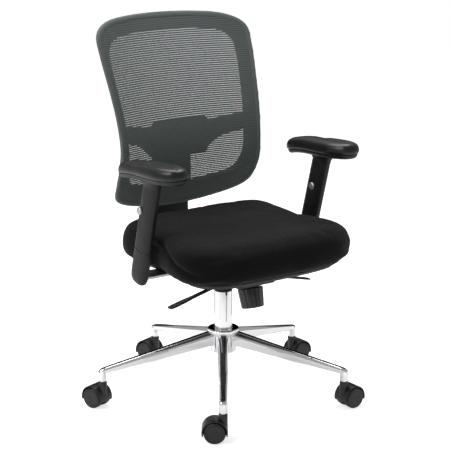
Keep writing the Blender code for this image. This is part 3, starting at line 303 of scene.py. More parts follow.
GRAIN = moulded_grain()
SKIN = skin_grain()
MARKS = handling_marks()
WEAR = edge_wear()
DUST = settled_dust()
CLOTH = knitted_cloth()
BRUSHED = brushed_lines()


def start_finish(name, **sockets):
    """A material with its Principled shader's plain values set, its tree and its shader."""
    material = bpy.data.materials.new(name)
    material.use_nodes = True
    shader = material.node_tree.nodes["Principled BSDF"]
    for label, value in sockets.items():
        shader.inputs[label.replace("_", " ")].default_value = value
    return material, material.node_tree, shader


def use_group(tree, group, **values):
    placed = add_node(tree, "ShaderNodeGroup", node_tree=group)
    for label, value in values.items():
        placed.inputs[label.replace("_", " ")].default_value = value
    return placed.outputs


def blend_colours(tree, mask, first, second):
    mixed = add_node(tree, "ShaderNodeMix", data_type="RGBA")
    tree.links.new(mask, mixed.inputs["Factor"])
    for socket, colour in ((mixed.inputs["A"], first), (mixed.inputs["B"], second)):
        if isinstance(colour, bpy.types.NodeSocket):
            tree.links.new(colour, socket)
        else:
            socket.default_value = (*colour, 1.0)
    return mixed.outputs["Result"]


def raise_surface(tree, shader, height, distance, strength=1.0):
    bump = add_node(tree, "ShaderNodeBump", {"Height": height, "Distance": distance, "Strength": strength})
    tree.links.new(bump.outputs["Normal"], shader.inputs["Normal"])


def dress(tree, shader, colour, roughness, dust, dust_colour=(0.20, 0.19, 0.18)):
    """Lays dust over a colour, and links the colour and the roughness to the shader."""
    dusty = blend_colours(tree, use_group(tree, DUST, Amount=dust)["Mask"], colour, dust_colour)
    tree.links.new(dusty, shader.inputs["Base Color"])
    tree.links.new(roughness, shader.inputs["Roughness"])


def plastic_finish(name, colour, least, most, grain, depth, wear=0.3, dust=0.05, specular=0.5):
    """Moulded plastic: mould grain, handling marks, rubbed edges and a little dust."""
    material, tree, shader = start_finish(name, Specular_IOR_Level=specular)
    texture = use_group(tree, GRAIN, Grain_Size=grain)
    roughness = use_group(tree, MARKS, Least=least, Most=most)["Roughness"]
    shades = ((0.8, 0), (1.2, 0), (2.2, 0.01))
    dark, light, bare = (tuple(scale * c + lift for c in colour) for scale, lift in shades)
    body = blend_colours(tree, texture["Shade"], dark, light)
    rubbed = blend_colours(tree, use_group(tree, WEAR, Amount=wear)["Mask"], body, bare)
    dress(tree, shader, rubbed, roughness, dust)
    raise_surface(tree, shader, texture["Height"], depth)
    return material


def chrome_finish(name, colour, least, most):
    """Polished plate: nearly a mirror, with faint smears."""
    material, tree, shader = start_finish(name, Metallic=1.0)
    marks = use_group(tree, MARKS, Least=least, Most=most, Smear_Size=0.03)
    patches = use_group(tree, GRAIN, Patch_Size=0.15)["Shade"]
    shade = blend_colours(tree, patches, tuple(0.97 * c for c in colour), colour)
    dress(tree, shader, shade, marks["Roughness"], 0.03, (0.5, 0.5, 0.5))
    return material


def brushed_finish(name, colour, least, most):
    material, tree, shader = start_finish(name, Metallic=1.0)
    marks = use_group(tree, MARKS, Least=least, Most=most, Smear_Size=0.02)
    lines = use_group(tree, BRUSHED)["Height"]
    worn = use_group(tree, WEAR, Amount=0.6)["Mask"]
    shade = blend_colours(tree, lines, tuple(0.85 * c for c in colour), colour)
    tree.links.new(blend_colours(tree, worn, shade, (0.75, 0.75, 0.76)), shader.inputs["Base Color"])
    tree.links.new(marks["Roughness"], shader.inputs["Roughness"])
    raise_surface(tree, shader, lines, 0.00003)
    return material


def pad_finish():
    """The soft skin of the armrest pads."""
    sockets = {"Specular_IOR_Level": 0.42, "Coat_Weight": 0.08, "Coat_Roughness": 0.30}
    material, tree, shader = start_finish("soft pad skin", **sockets)
    pebbles = use_group(tree, SKIN, Pebble_Size=0.0015)["Height"]
    patches = use_group(tree, GRAIN, Patch_Size=0.05)["Shade"]
    marks = use_group(tree, MARKS, Least=0.30, Most=0.42, Smear_Size=0.04)
    colour = blend_colours(tree, patches, (0.006, 0.006, 0.007), (0.010, 0.010, 0.011))
    # painted shade: the skin is darker in the creases between pebbles
    creases = blend_colours(tree, pebbles, (0.004, 0.004, 0.005), colour)
    dress(tree, shader, creases, marks["Roughness"], 0.05)
    raise_surface(tree, shader, pebbles, 0.00012, 0.6)
    return material


def seat_finish():
    """Tight black knitted upholstery."""
    sockets = {"Sheen_Weight": 0.06, "Sheen_Roughness": 0.45, "Specular_IOR_Level": 0.12}
    material, tree, shader = start_finish("seat cloth", **sockets)
    stitches = use_group(tree, CLOTH, Stitch_Size=0.0014)
    colour = blend_colours(tree, stitches["Shade"], (0.0028, 0.0028, 0.0032), (0.0072, 0.0072, 0.0080))
    # painted shade: the cloth is darker in the gaps between stitches
    low = blend_colours(tree, stitches["Height"], (0.003, 0.003, 0.0035), colour)
    roughness = remap(tree, stitches["Height"], 0.0, 1.0, 0.95, 0.78)
    dress(tree, shader, low, roughness, 0.04, (0.12, 0.12, 0.12))
    raise_surface(tree, shader, stitches["Height"], 0.0004, 0.7)
    return material


def net_finish():
    """Grey warp-knitted net: yarns along and across, with painted shade that follows the yarns' relief, a little
    darker in each hollow.
    """
    material, tree, shader = start_finish("back net yarn", Sheen_Weight=0.03, Specular_IOR_Level=0.20)
    split = add_node(tree, "ShaderNodeSeparateXYZ", {0: object_point(tree)}).outputs
    across = calculate(tree, "SINE", calculate(tree, "MULTIPLY", split["X"], 2 * math.pi / NET_COLUMN))
    along = calculate(tree, "SINE", calculate(tree, "MULTIPLY", split["Z"], 2 * math.pi / NET_ROW))
    yarn_relief_and_shade = remap(tree, calculate(tree, "MULTIPLY", across, along), -1.0, 1.0, 0.0, 1.0)
    stitches = use_group(tree, CLOTH, Stitch_Size=0.0009)
    height = calculate(tree, "ADD", yarn_relief_and_shade, calculate(tree, "MULTIPLY", stitches["Height"], 0.6))
    colour = blend_colours(tree, stitches["Shade"], (0.090, 0.106, 0.103), (0.134, 0.154, 0.150))
    # painted shade: the yarn colour follows the sine relief of the knit
    tree.links.new(blend_colours(tree, yarn_relief_and_shade, colour, (0.105, 0.121, 0.118)), shader.inputs["Base Color"])
    tree.links.new(remap(tree, stitches["Height"], 0.0, 1.0, 0.9, 0.7), shader.inputs["Roughness"])
    raise_surface(tree, shader, height, 0.0003, 0.6)
    return material


CHROME = chrome_finish("polished chrome", (0.90, 0.90, 0.91), 0.025, 0.07)
STEEL = brushed_finish("zinc plated steel", (0.55, 0.55, 0.56), 0.28, 0.42)
SPRING = brushed_finish("oiled spring steel", (0.22, 0.22, 0.23), 0.30, 0.45)
BUTTON = brushed_finish("satin button metal", (0.66, 0.66, 0.67), 0.42, 0.52)
POWDER = plastic_finish("black powder coat", (0.014, 0.014, 0.015), 0.38, 0.50, 0.0012, 0.00008, wear=0.4)
SMOOTH = plastic_finish("black arm moulding", (0.008, 0.008, 0.009), 0.42, 0.52, 0.0007, 0.00004,
                        specular=0.36)
DULL = plastic_finish("black back moulding", (0.014, 0.015, 0.015), 0.50, 0.62, 0.0008, 0.00005)
GLOSS = plastic_finish("glossy black moulding", (0.010, 0.010, 0.011), 0.16, 0.26, 0.0010, 0.00002, wear=0.2)
NYLON = plastic_finish("black wheel nylon", (0.009, 0.009, 0.010), 0.30, 0.42, 0.0009, 0.00004, 0.4, 0.04)
SKIN_PAD = pad_finish()
SEAT_CLOTH = seat_finish()
NET_YARN = net_finish()


# ---------------------------------------------------------------- shape tools


def curve_point(a, b, c, d, t):
    """A point between b and c on a smooth curve, where a and d are the points before and after them."""
    bend = (2 * a - 5 * b + 4 * c - d) * t**2 + (3 * b - a - 3 * c + d) * t**3
    return 0.5 * (2 * b + (c - a) * t + bend)


def smooth_loop(half, steps):
    """A closed smooth outline. The given half runs from middle line to middle line at x >= 0."""
    points = [Vector(p) for p in half]
    points += [Vector((-p.x, p.y)) for p in reversed(points[1:-1])]
    outline = []
    for k in range(len(points)):
        a, b, c, d = (points[(k + j) % len(points)] for j in (-1, 0, 1, 2))
        outline += [curve_point(a, b, c, d, step / steps) for step in range(steps)]
    return outline


def inset_loop(outline, distance):
    """The outline moved to its left: inwards for the seat and the pads, outwards for the back."""
    moved = []
    count = len(outline)
    for k, point in enumerate(outline):
        along = (outline[(k + 1) % count] - outline[k - 1]).normalized()
        moved.append(point + distance * Vector((-along.y, along.x)))
    return moved


def oval(half_x, half_y, exponent, count):
    """A rounded rectangle by the superellipse formula."""
    points = []
    for k in range(count):
        angle = 2 * math.pi * (k + 0.5) / count
        c, s = math.cos(angle), math.sin(angle)
        x = half_x * math.copysign(abs(c) ** (2 / exponent), c)
        y = half_y * math.copysign(abs(s) ** (2 / exponent), s)
        points.append((x, y))
    return points


def rounded(points, radius, steps=4, closed=False):
    """A line of points with each corner rounded, as far as its edges allow."""
    points = [Vector(p) for p in points]
    count = len(points)
    line = []
    for k, corner in enumerate(points):
        if not closed and k in (0, count - 1):
            line.append(corner)
            continue
        before, after = points[k - 1] - corner, points[(k + 1) % count] - corner
        cut = min(radius, 0.45 * before.length, 0.45 * after.length)
        start, end = corner + before.normalized() * cut, corner + after.normalized() * cut
        for step in range(steps + 1):
            t = step / steps
            line.append((1 - t) ** 2 * start + 2 * t * (1 - t) * corner + t**2 * end)
    return line


def through(stations, steps):
    """Smooth in-between stations: each is a tuple of numbers, joined by a curve through them."""
    rows = [np.array(s, float) for s in stations]
    line = []
    for k in range(len(rows) - 1):
        a, b, c, d = rows[max(k - 1, 0)], rows[k], rows[k + 1], rows[min(k + 2, len(rows) - 1)]
        line += [curve_point(a, b, c, d, step / steps) for step in range(steps)]
    return line + [rows[-1]]


def skin(rings, closed=False, across=False):
    """Points and faces over rings of points. The ends are capped, unless the rings go right round.

    Across caps each end with a strip of faces, for rings that are symmetrical about their first point.
    """
    count = len(rings[0])
    points = [tuple(p) for ring in rings for p in ring]
    faces = []
    for i in range(len(rings) if closed else len(rings) - 1):
        a, b = i * count, (i + 1) % len(rings) * count
        faces += [(a + k, a + (k + 1) % count, b + (k + 1) % count, b + k) for k in range(count)]
    for start in () if closed else (0, len(points) - count):
        if across:
            for k in range(count // 2):
                faces.append((start + k, start + k + 1, start + count - k - 1, start + -k % count))
        else:
            faces.append(tuple(range(start, start + count)))
    return points, [tuple(dict.fromkeys(face)) for face in faces]


def turned(profile, segments=72, matrix=Matrix(), closed=False):
    """A solid of revolution about Z, from (radius, height) points. A closed profile makes a ring."""
    rings = []
    for radius, height in profile:
        angles = [2 * math.pi * (k + 0.5) / segments for k in range(segments)]
        rings.append([matrix @ Vector((radius * math.cos(a), radius * math.sin(a), height)) for a in angles])
    return skin(rings, closed)


def tube(points, radius, sides=16):
    """A round rod along a line of points, turning its section with the line."""
    points = [Vector(p) for p in points]
    heading = (points[1] - points[0]).normalized()
    side = heading.orthogonal().normalized()
    rings = []
    for k, point in enumerate(points):
        now = (points[min(k + 1, len(points) - 1)] - points[max(k - 1, 0)]).normalized()
        side = (heading.rotation_difference(now) @ side).normalized()
        heading = now
        across = heading.cross(side)
        angles = [2 * math.pi * j / sides for j in range(sides)]
        rings.append([point + radius * (math.cos(a) * side + math.sin(a) * across) for a in angles])
    return skin(rings)


def moved(shape, matrix):
    points, faces = shape
    return [tuple(matrix @ Vector(p)) for p in points], faces


def mesh_of(name, shapes):
    """One mesh of several closed shapes, with poles closed and faces pointing out."""
    points, faces = [], []
    for more_points, more_faces in shapes:
        faces += [tuple(k + len(points) for k in face) for face in more_faces]
        points += more_points
    mesh = bpy.data.meshes.new(name)
    mesh.from_pydata(points, [], faces)
    work = bmesh.new()
    work.from_mesh(mesh)
    bmesh.ops.remove_doubles(work, verts=work.verts, dist=1e-6)
    bmesh.ops.dissolve_degenerate(work, edges=work.edges, dist=1e-7)
    bmesh.ops.recalc_face_normals(work, faces=work.faces)
    work.to_mesh(mesh)
    work.free()
    return mesh


def place_object(name, mesh, finish):
    obj = bpy.data.objects.new(name, mesh)
    bpy.context.scene.collection.objects.link(obj)
    mesh.materials.clear()
    mesh.materials.append(finish)
    return obj


def shade(mesh, crease):
    mesh.shade_smooth()
    mesh.set_sharp_from_angle(angle=math.radians(crease))


def make_piece(name, shapes, finish, body, replaced=(), matrix=TO_CHAIR, crease=35):
    """A finished piece: its shapes in place, smooth shaded, riding on its body."""
    mesh = mesh_of(name, shapes)
    mesh.transform(matrix)
    shade(mesh, crease)
    obj = place_object(name, mesh, finish)
    settle(obj, body, replaced)
    return obj


def settle(obj, body, replaced=()):
    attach(obj, body)
    if replaced:
        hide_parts(*replaced)


# ---------------------------------------------------------------- geometry node tools


def new_maker(name, inputs):
    """A geometry node tree with a Geometry input and named inputs, and its input sockets."""
    tree = bpy.data.node_groups.new(name, "GeometryNodeTree")
    tree.interface.new_socket("Geometry", in_out="INPUT", socket_type="NodeSocketGeometry")
    for label, (kind, value) in inputs.items():
        socket = tree.interface.new_socket(label, in_out="INPUT", socket_type=kind)
        if value is not None:
            socket.default_value = value
    tree.interface.new_socket("Geometry", in_out="OUTPUT", socket_type="NodeSocketGeometry")
    return tree, tree.nodes.new("NodeGroupInput").outputs


def end_maker(tree, geometry, finish):
    """Ends a tree with Realize Instances and Set Material."""
    real = add_node(tree, "GeometryNodeRealizeInstances", {"Geometry": geometry}).outputs["Geometry"]
    coloured = add_node(tree, "GeometryNodeSetMaterial", {"Geometry": real, "Material": finish})
    tree.links.new(coloured.outputs["Geometry"], tree.nodes.new("NodeGroupOutput").inputs["Geometry"])


def run_maker(name, base, tree, finish, **values):
    """Runs a tree on a base mesh and returns the result as a plain object."""
    source = bpy.data.objects.new(name, base)
    bpy.context.scene.collection.objects.link(source)
    modifier = source.modifiers.new(name, "NODES")
    modifier.node_group = tree
    wanted = {label.replace("_", " "): value for label, value in values.items()}
    for item in tree.interface.items_tree:
        if item.in_out == "INPUT" and item.name in wanted:
            modifier[item.identifier] = wanted[item.name]
    graph = bpy.context.evaluated_depsgraph_get()
    made = bpy.data.meshes.new_from_object(source.evaluated_get(graph), depsgraph=graph)
    made.name = name
    bpy.data.objects.remove(source)
    return place_object(name, made, finish)


# ---------------------------------------------------------------- camera, floor and light


def set_camera():
    azimuth, elevation = math.radians(-36.0), math.radians(14.3)
    distance, aim_height, aim_side = 4.13, 0.494, 0.0048
    across = Vector((math.cos(azimuth), math.sin(azimuth), 0))
    level = Vector((math.sin(azimuth), -math.cos(azimuth), 0))
    back = level * math.cos(elevation) + Vector((0, 0, math.sin(elevation)))
    camera = bpy.data.objects.new("camera", bpy.data.cameras.new("camera"))
    bpy.context.scene.collection.objects.link(camera)
    camera.data.sensor_width = 36
    camera.data.lens = 119.7
    camera.location = AXIS + Vector((0, 0, aim_height)) + across * aim_side + back * distance
    camera.rotation_euler = back.to_track_quat("Z", "Y").to_euler()
    bpy.context.scene.camera = camera
    return level, across


def flat_sheet(name, half_width, half_height):
    mesh = bpy.data.meshes.new(name)
    w, h = half_width, half_height
    mesh.from_pydata([(-w, -h, 0), (w, -h, 0), (w, h, 0), (-w, h, 0)], [], [(0, 1, 2, 3)])
    return mesh


def add_card(name, centre, width, height, facing, brightness):
    """An upright card that only mirrors see: white gives a highlight and black a dark line."""
    sockets = {"Roughness": 1.0, "Specular_IOR_Level": 0.0, "Emission_Strength": brightness}
    card = start_finish(name, Base_Color=(0, 0, 0, 1), Emission_Color=(1, 1, 1, 1), **sockets)[0]
    obj = place_object(name, flat_sheet(name, width / 2, height / 2), card)
    obj.location = centre
    obj.rotation_euler = Vector(facing).to_track_quat("Z", "Y").to_euler()
    obj.visible_camera = False
    obj.visible_diffuse = False
    obj.visible_shadow = False
    obj.visible_transmission = False


def add_softbox(name, centre, target, size, power):
    light = bpy.data.lights.new(name, "AREA")
    light.shape = "RECTANGLE"
    light.size, light.size_y = size
    light.energy = power
    obj = bpy.data.objects.new(name, light)
    bpy.context.scene.collection.objects.link(obj)
    obj.location = centre
    obj.rotation_euler = (Vector(centre) - Vector(target)).to_track_quat("Z", "Y").to_euler()


def set_stage(level, across):
    """The floor, the lights and the cards. Level points to the camera, and across to its right."""
    bpy.context.scene.view_settings.view_transform = "Standard"
    world = bpy.data.worlds.new("studio")
    bpy.context.scene.world = world
    world.use_nodes = True
    tree = world.node_tree
    seen = add_node(tree, "ShaderNodeLightPath").outputs["Is Camera Ray"]
    tree.links.new(remap(tree, seen, 0.0, 1.0, ROOM_LIGHT, 1.0), tree.nodes["Background"].inputs["Strength"])
    tree.nodes["Background"].inputs["Color"].default_value = (1, 1, 1, 1)
    sockets = {"Roughness": 0.9, "Specular_IOR_Level": 0.1, "Emission_Strength": 1.0}
    paper, tree, shader = start_finish("white paper", **sockets)
    direct = add_node(tree, "ShaderNodeLightPath").outputs["Is Camera Ray"]
    glow = blend_colours(tree, direct, (0.22, 0.22, 0.22), (0.70, 0.70, 0.70))
    tree.links.new(glow, shader.inputs["Emission Color"])
    mottled = blend_colours(tree, noise_field(tree, 300.0), (0.84, 0.84, 0.84), (0.86, 0.86, 0.86))
    tree.links.new(mottled, shader.inputs["Base Color"])
    place_object("floor", flat_sheet("floor", FLOOR_HALF, FLOOR_HALF), paper)
    chest = AXIS + Vector((0, 0, 0.5))
    above, behind = Vector((0, 0, 2.6)), Vector((0, 0, 2.9))
    add_softbox("key light", AXIS + level * 1.2 - across * 1.8 + above, chest, (1.6, 1.6), 42)
    add_softbox("top light", AXIS - level * 0.9 + behind, chest, (2.4, 1.4), 55)
    # name, degrees from the camera, distance, width, bottom, top and brightness
    for name, turn, distance, width, low, high, brightness in (
        ("rear flag", 180, 1.30, 2.2, 0.50, 1.00, 0.0),
        ("line flag", 40, 0.80, 0.10, 0.0, 0.40, 0.06),
        ("left flag", -150, 0.80, 0.46, 0.0, 0.40, 0.03),
        ("right flag", 146, 0.80, 0.40, 0.0, 0.40, 0.03),
        ("left card", -38, 0.85, 0.34, 0.0, 0.45, 1.0),
        ("right card", 84, 0.85, 0.40, 0.0, 0.45, 1.0),
    ):
        angle = math.radians(turn)
        out = level * math.cos(angle) + across * math.sin(angle)
        centre = AXIS + out * distance + Vector((0, 0, (low + high) / 2))
        add_card(name, centre, width, high - low, -out, brightness)


# ---------------------------------------------------------------- base and column


def base_arm(place):
    """One arm of the star, from inside the hub to a rounded tip over its caster."""
    stem = middle_of(f"caster_{place}_stem") - AXIS
    angle = math.atan2(stem.y, stem.x)
    root, tip = HUB_RADIUS * 0.6, BASE_RADIUS + BOSS_RADIUS
    rings = []
    for share in (0.0, 0.2, 0.4, 0.6, 0.8, 0.93, 0.965, 0.985, 0.995, 1.0):
        width, height, top = (a + (b - a) * share for a, b in zip(ARM_ROOT, ARM_TIP))
        past = max(0.0, (share - 0.955) / 0.045)
        shrink = math.sqrt(max(0.02, 1 - past**2))
        section = [(width * (0.55 + 0.45 * shrink) * u, height * v) for u, v in ARM_SECTION]
        low = top - height
        section = rounded(section, 0.0022, 3, closed=True)
        s = root + (tip - root) * share
        sink = 0.5 * ARM_TIP[1] * (1 - shrink)
        rings.append([(s, p.x, max(low, top + p.y - sink * (1 + p.y / height))) for p in section])
    seat = [(0, 0.0790), (BOSS_RADIUS, 0.0790), (BOSS_RADIUS, 0.1075), (0, 0.1075)]
    boss = turned(rounded(seat, 0.0012), 40, Matrix.Translation((BASE_RADIUS, 0, 0)))
    turn = Matrix.Rotation(angle, 4, "Z")
    return [moved(skin(rings), turn), moved(boss, turn)]


def build_base():
    hub = [
        (TUBE_RADIUS - 0.0006, HUB_BOTTOM_RING),
        (HUB_RADIUS, HUB_BOTTOM_RING),
        (HUB_RADIUS, HUB_TOP - 2 * COLLAR_HEIGHT),
        (COLLAR_RADIUS, HUB_TOP - COLLAR_HEIGHT),
        (COLLAR_RADIUS, HUB_TOP - 0.002),
        (COLLAR_RADIUS - 0.002, HUB_TOP),
        (TUBE_RADIUS + GAP, HUB_TOP),
    ]
    shapes = [turned(rounded(hub, 0.0020, 4, closed=True), 96, closed=True)]
    for place in PLACES:
        shapes += base_arm(place)
    make_piece("star_base_plated", shapes, CHROME, "base", ["star_base"])


def build_column():
    tube_ring = [
        (TUBE_RADIUS - 0.0010, 0.1335),
        (TUBE_RADIUS, HUB_TOP),
        (TUBE_RADIUS, TUBE_TOP),
        (TUBE_RADIUS - 0.0022, TUBE_TOP),
        (TUBE_RADIUS - 0.0032, 0.1335),
    ]
    stand = turned(rounded(tube_ring, 0.0006, 3, closed=True), 96, closed=True)
    make_piece("stand_tube_plated", [stand], CHROME, "base", ["stand_tube"])
    rim = TUBE_TOP + GAP
    bush = [
        (CYLINDER_RADIUS + GAP, TUBE_TOP - 0.072),
        (TUBE_RADIUS - 0.0026, TUBE_TOP - 0.072),
        (TUBE_RADIUS - 0.0026, rim),
        (TUBE_RADIUS, rim),
        (TUBE_RADIUS, rim + 0.0026),
        (TUBE_RADIUS - 0.0015, rim + 0.0042),
        (CYLINDER_RADIUS + GAP, rim + 0.0042),
    ]
    make_piece("guide_bush_moulded", [turned(rounded(bush, 0.0006, 3, closed=True), 72, closed=True)],
               POWDER, "base", ["guide_bush"])
    low, high = (corner.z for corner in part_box("pressure_cylinder"))
    taper = [(CYLINDER_RADIUS, 0.3335), (CYLINDER_RADIUS - 0.0008, high)]
    wall = [(0.0053, low), (CYLINDER_RADIUS, low), *taper, (0.0028, high)]
    cylinder = turned(rounded(wall, 0.0008, 3, closed=True), 72, closed=True)
    make_piece("pressure_cylinder_plated", [cylinder], CHROME, "mechanism", ["pressure_cylinder"])


# ---------------------------------------------------------------- casters


def fender_band():
    """The hood's fender: a rounded section swept round the wheels, open below."""
    section = [
        (FENDER_INNER, -FENDER_HALF_WIDTH),
        (FENDER_OUTER, -FENDER_HALF_WIDTH),
        (FENDER_OUTER, FENDER_HALF_WIDTH),
        (FENDER_INNER, FENDER_HALF_WIDTH),
    ]
    section = rounded(section, 0.0016, 3, closed=True)
    start, end, count = math.radians(-14.5), math.radians(194.5), 48
    rings = []
    for k in range(count + 1):
        angle = start + (end - start) * k / count
        rings.append([(r * math.cos(angle), y, r * math.sin(angle)) for r, y in section])
    return skin(rings)


def hood_web():
    """The middle plate between the two wheels, cut off below the axle."""
    outline = []
    low = -0.009
    reach = math.asin(low / FENDER_OUTER)
    for k in range(41):
        angle = reach + (math.pi - 2 * reach) * k / 40
        outline.append((0.985 * FENDER_OUTER * math.cos(angle), 0.985 * FENDER_OUTER * math.sin(angle)))
    return skin([[(x, y, z) for x, z in outline] for y in (-HOOD_WEB, HOOD_WEB)])


def wheel_profile():
    """From the axis on the outer face, over the tread, to the inner face."""
    far, near = WHEEL_OUTER_FACE, WHEEL_INNER_FACE
    r = WHEEL_RADIUS
    face = [
        (0, far - 0.0006),
        (0.0062, far - 0.0006),
        (0.0070, far - 0.0014),
        (0.0078, far - 0.0006),
        (r - 0.0085, far - 0.0004),
        (r - 0.0076, far - 0.0013),
        (r - 0.0066, far),
        (r - 0.0026, far - 0.0010),
        (r, far - 0.0050),
        (r, near + 0.0030),
        (r - 0.0022, near),
        (0.0080, near),
        (0.0034, near + 0.0004),
        (0.0034, near + 0.0155),
        (0, near + 0.0155),
    ]
    return rounded(face, 0.0009, 3)


def build_casters():
    for place in PLACES:
        swivel = middle_of(f"caster_{place}_stem")
        axle = middle_of(f"caster_{place}_axle")
        heading = math.atan2(axle.y - swivel.y, axle.x - swivel.x)
        at_axle = Matrix.Translation(axle) @ Matrix.Rotation(heading, 4, "Z")
        top = HOOD_TOP - WHEEL_RADIUS
        collar = [(0, -0.010), (0.0120, -0.010), (0.0120, top), (0, top)]
        boss = turned(rounded(collar, 0.0016, 4), 40, Matrix.Translation((-TRAIL, 0, 0)))
        half = FENDER_HALF_WIDTH * 0.2
        web_cap = [(0, -half), (0.0065, -half), (0.0065, half), (0, half)]
        bearing = turned(rounded(web_cap, 0.0005), 32, Matrix.Rotation(math.pi / 2, 4, "X"))
        make_piece(f"caster_{place}_hood_moulded", [fender_band(), hood_web(), boss, bearing], NYLON,
                   f"caster_{place}", [f"caster_{place}_hood"], at_axle)
        for side, sign in (("outer", -1), ("inner", 1)):
            turn = at_axle @ Matrix.Rotation(-sign * math.pi / 2, 4, "X")
            node = f"caster_{place}_wheel_{side}"
            make_piece(f"{node}_moulded", [turned(wheel_profile(), 64)], NYLON,
                       f"wheel_{place}_{side}", [node], turn)


# ---------------------------------------------------------------- mechanism


def build_knob():
    """The fluted tension knob, with a dished end."""
    joint = joint_named("tension_knob_turn")
    turn = Vector(joint["axis"]).to_track_quat("Z", "Y").to_matrix().to_4x4()
    place = Matrix.Translation(Vector(joint["pos_m"])) @ turn
    flutes, per_flute, height = 12, 10, 0.055
    profile = (  # radius, height and how deep the flutes are
        (0.0, -height + 0.0025, 0), (0.022, -height + 0.0025, 0), (0.025, -height, 0), (0.0285, -height, 0.3),
        (0.0305, -height + 0.0012, 0.8), (0.0312, -height + 0.004, 1), (0.0331, -0.028, 1),
        (0.0349, -0.0045, 1), (0.0343, -0.0012, 0.7), (0.0320, 0.0, 0), (0.0062, 0.0, 0),
        (0.0060, -0.030, 0), (0.0, -0.030, 0),
    )
    rings = []
    for radius, level, share in profile:
        ring = []
        for k in range(flutes * per_flute):
            phase = 2 * math.pi * k / per_flute
            valley = max(0.0, math.cos(phase)) ** 3
            angle = 2 * math.pi * k / (flutes * per_flute)
            r = radius - 0.0018 * share * valley
            ring.append((r * math.cos(angle), r * math.sin(angle), level))
        rings.append(ring)
    make_piece("tension_knob_moulded", [skin(rings)], GLOSS, "tension_knob_body",
               ["tension_knob"], place, 28)


def lever_grip(sign):
    """A slim moulded handle that widens to a flat paddle."""
    reach, paddle, drop = 0.186, 0.062, LEVER_DROP
    stations = (
        (0.010, 0.0105, 0.0070),
        (0.030, 0.0125, 0.0072),
        (reach - paddle * 1.4, 0.0150, 0.0070),
        (reach - paddle * 1.1, 0.0175, 0.0062),
        (reach - paddle * 0.8, 0.0232, 0.0056),
        (reach - 0.016, 0.0240, 0.0054),
        (reach - 0.006, 0.0225, 0.0050),
        (reach - 0.0012, 0.0170, 0.0036),
        (reach, 0.0110, 0.0020),
    )
    rings = []
    for along, width, thickness in through(stations, 6):
        along = min(along, reach)
        x, fall = along * math.cos(drop), along * math.sin(drop)
        section = oval(width / 2, thickness / 2, 3.2, 28)
        rings.append([(sign * (x + v * math.sin(drop)), u, v * math.cos(drop) - fall) for u, v in section])
    return skin(rings)


def build_levers():
    lift_path = ((-0.0225, 0, 0), (-0.0225, 0.067, 0), (-0.0225, 0.085, 0.0145), (-0.0625, 0.085, 0.0145))
    lock_path = ((-0.0225, 0, 0), (-0.0225, 0.020, 0))
    levers = (  # name, side, path of the wire, joint and body
        ("lift_lever", -1, lift_path, "lift_lever_raise", "lift_lever_body"),
        ("tilt_lock_lever", 1, lock_path, "tilt_lock_turn", "tilt_lock_body"),
    )
    outer_end = (0.040 * math.cos(LEVER_DROP), 0, -0.040 * math.sin(LEVER_DROP))
    for name, sign, inside, joint, body in levers:
        path = [(sign * x, y, z) for x, y, z in (outer_end, (0, 0, 0), *inside)]
        wire = tube(rounded(path, 0.007, 5), 0.0030)
        place = Matrix.Translation(Vector(joint_named(joint)["pos_m"]))
        make_piece(f"{name}_moulded", [lever_grip(sign), wire], GLOSS, body, [name], place)


def screw_maker():
    """Instances a pan-head screw with a hexagon socket on each point of the base mesh."""
    inputs = {"Head": ("NodeSocketObject", None), "Size": ("NodeSocketFloat", 1.0)}
    tree, given = new_maker("screw heads", inputs)
    info = add_node(tree, "GeometryNodeObjectInfo", {"Object": given["Head"]}, transform_space="ORIGINAL")
    spin = add_node(tree, "FunctionNodeRandomValue", {"Seed": 7}, data_type="FLOAT")
    spin.inputs[3].default_value = math.pi / 3
    turn = add_node(tree, "ShaderNodeCombineXYZ", {"Z": spin.outputs[1]}).outputs["Vector"]
    dots = add_node(tree, "GeometryNodeMeshToPoints", {"Mesh": given["Geometry"]}).outputs["Points"]
    inputs = {"Points": dots, "Instance": info.outputs["Geometry"], "Rotation": turn, "Scale": given["Size"]}
    placed = add_node(tree, "GeometryNodeInstanceOnPoints", inputs)
    end_maker(tree, placed.outputs["Instances"], STEEL)
    return tree


def screw_head():
    """A pan head hanging below its seat, with a six-sided socket."""
    profile = (  # radius, height and whether the ring is six-sided
        (0.0, 0.0, False), (0.0055, 0.0, False), (0.0055, -0.0012, False), (0.0044, -0.0030, False),
        (0.0026, -0.0034, False), (0.0020, -0.0034, True), (0.0020, -0.0012, True), (0.0, -0.0012, True),
    )
    sixth = math.pi / 3
    rings = []
    for radius, level, six_sided in profile:
        ring = []
        for k in range(24):
            angle = 2 * math.pi * k / 24
            bend = math.cos(sixth / 2) / math.cos(angle % sixth - sixth / 2) if six_sided else 1.0
            ring.append((radius * bend * math.cos(angle), radius * bend * math.sin(angle), level))
        rings.append(ring)
    return place_object("screw head", mesh_of("screw head", [skin(rings)]), STEEL)


def build_screws():
    """Screws under the seat plate and under the arm brackets."""
    head = screw_head()
    tree = screw_maker()
    points = [(x, y, PLATE_UNDERSIDE) for x in (-0.080, 0.080) for y in (-0.105, 0.092)]
    for sign in SIDES.values():
        points += [(sign * x, y + ARM_FOOT_Y, 0.3912) for x in (0.125, 0.165) for y in (-0.018, 0.018)]
    points += [(x, 0.150, 0.3910) for x in (-0.035, 0.035)]
    base = bpy.data.meshes.new("screw places")
    base.from_pydata([tuple(Vector(p) + AXIS) for p in points], [], [])
    screws = run_maker("seat_screws", base, tree, STEEL, Head=head, Size=1.0)
    bpy.data.objects.remove(head)
    shade(screws.data, 30)
    settle(screws, "seat")


# ---------------------------------------------------------------- seat


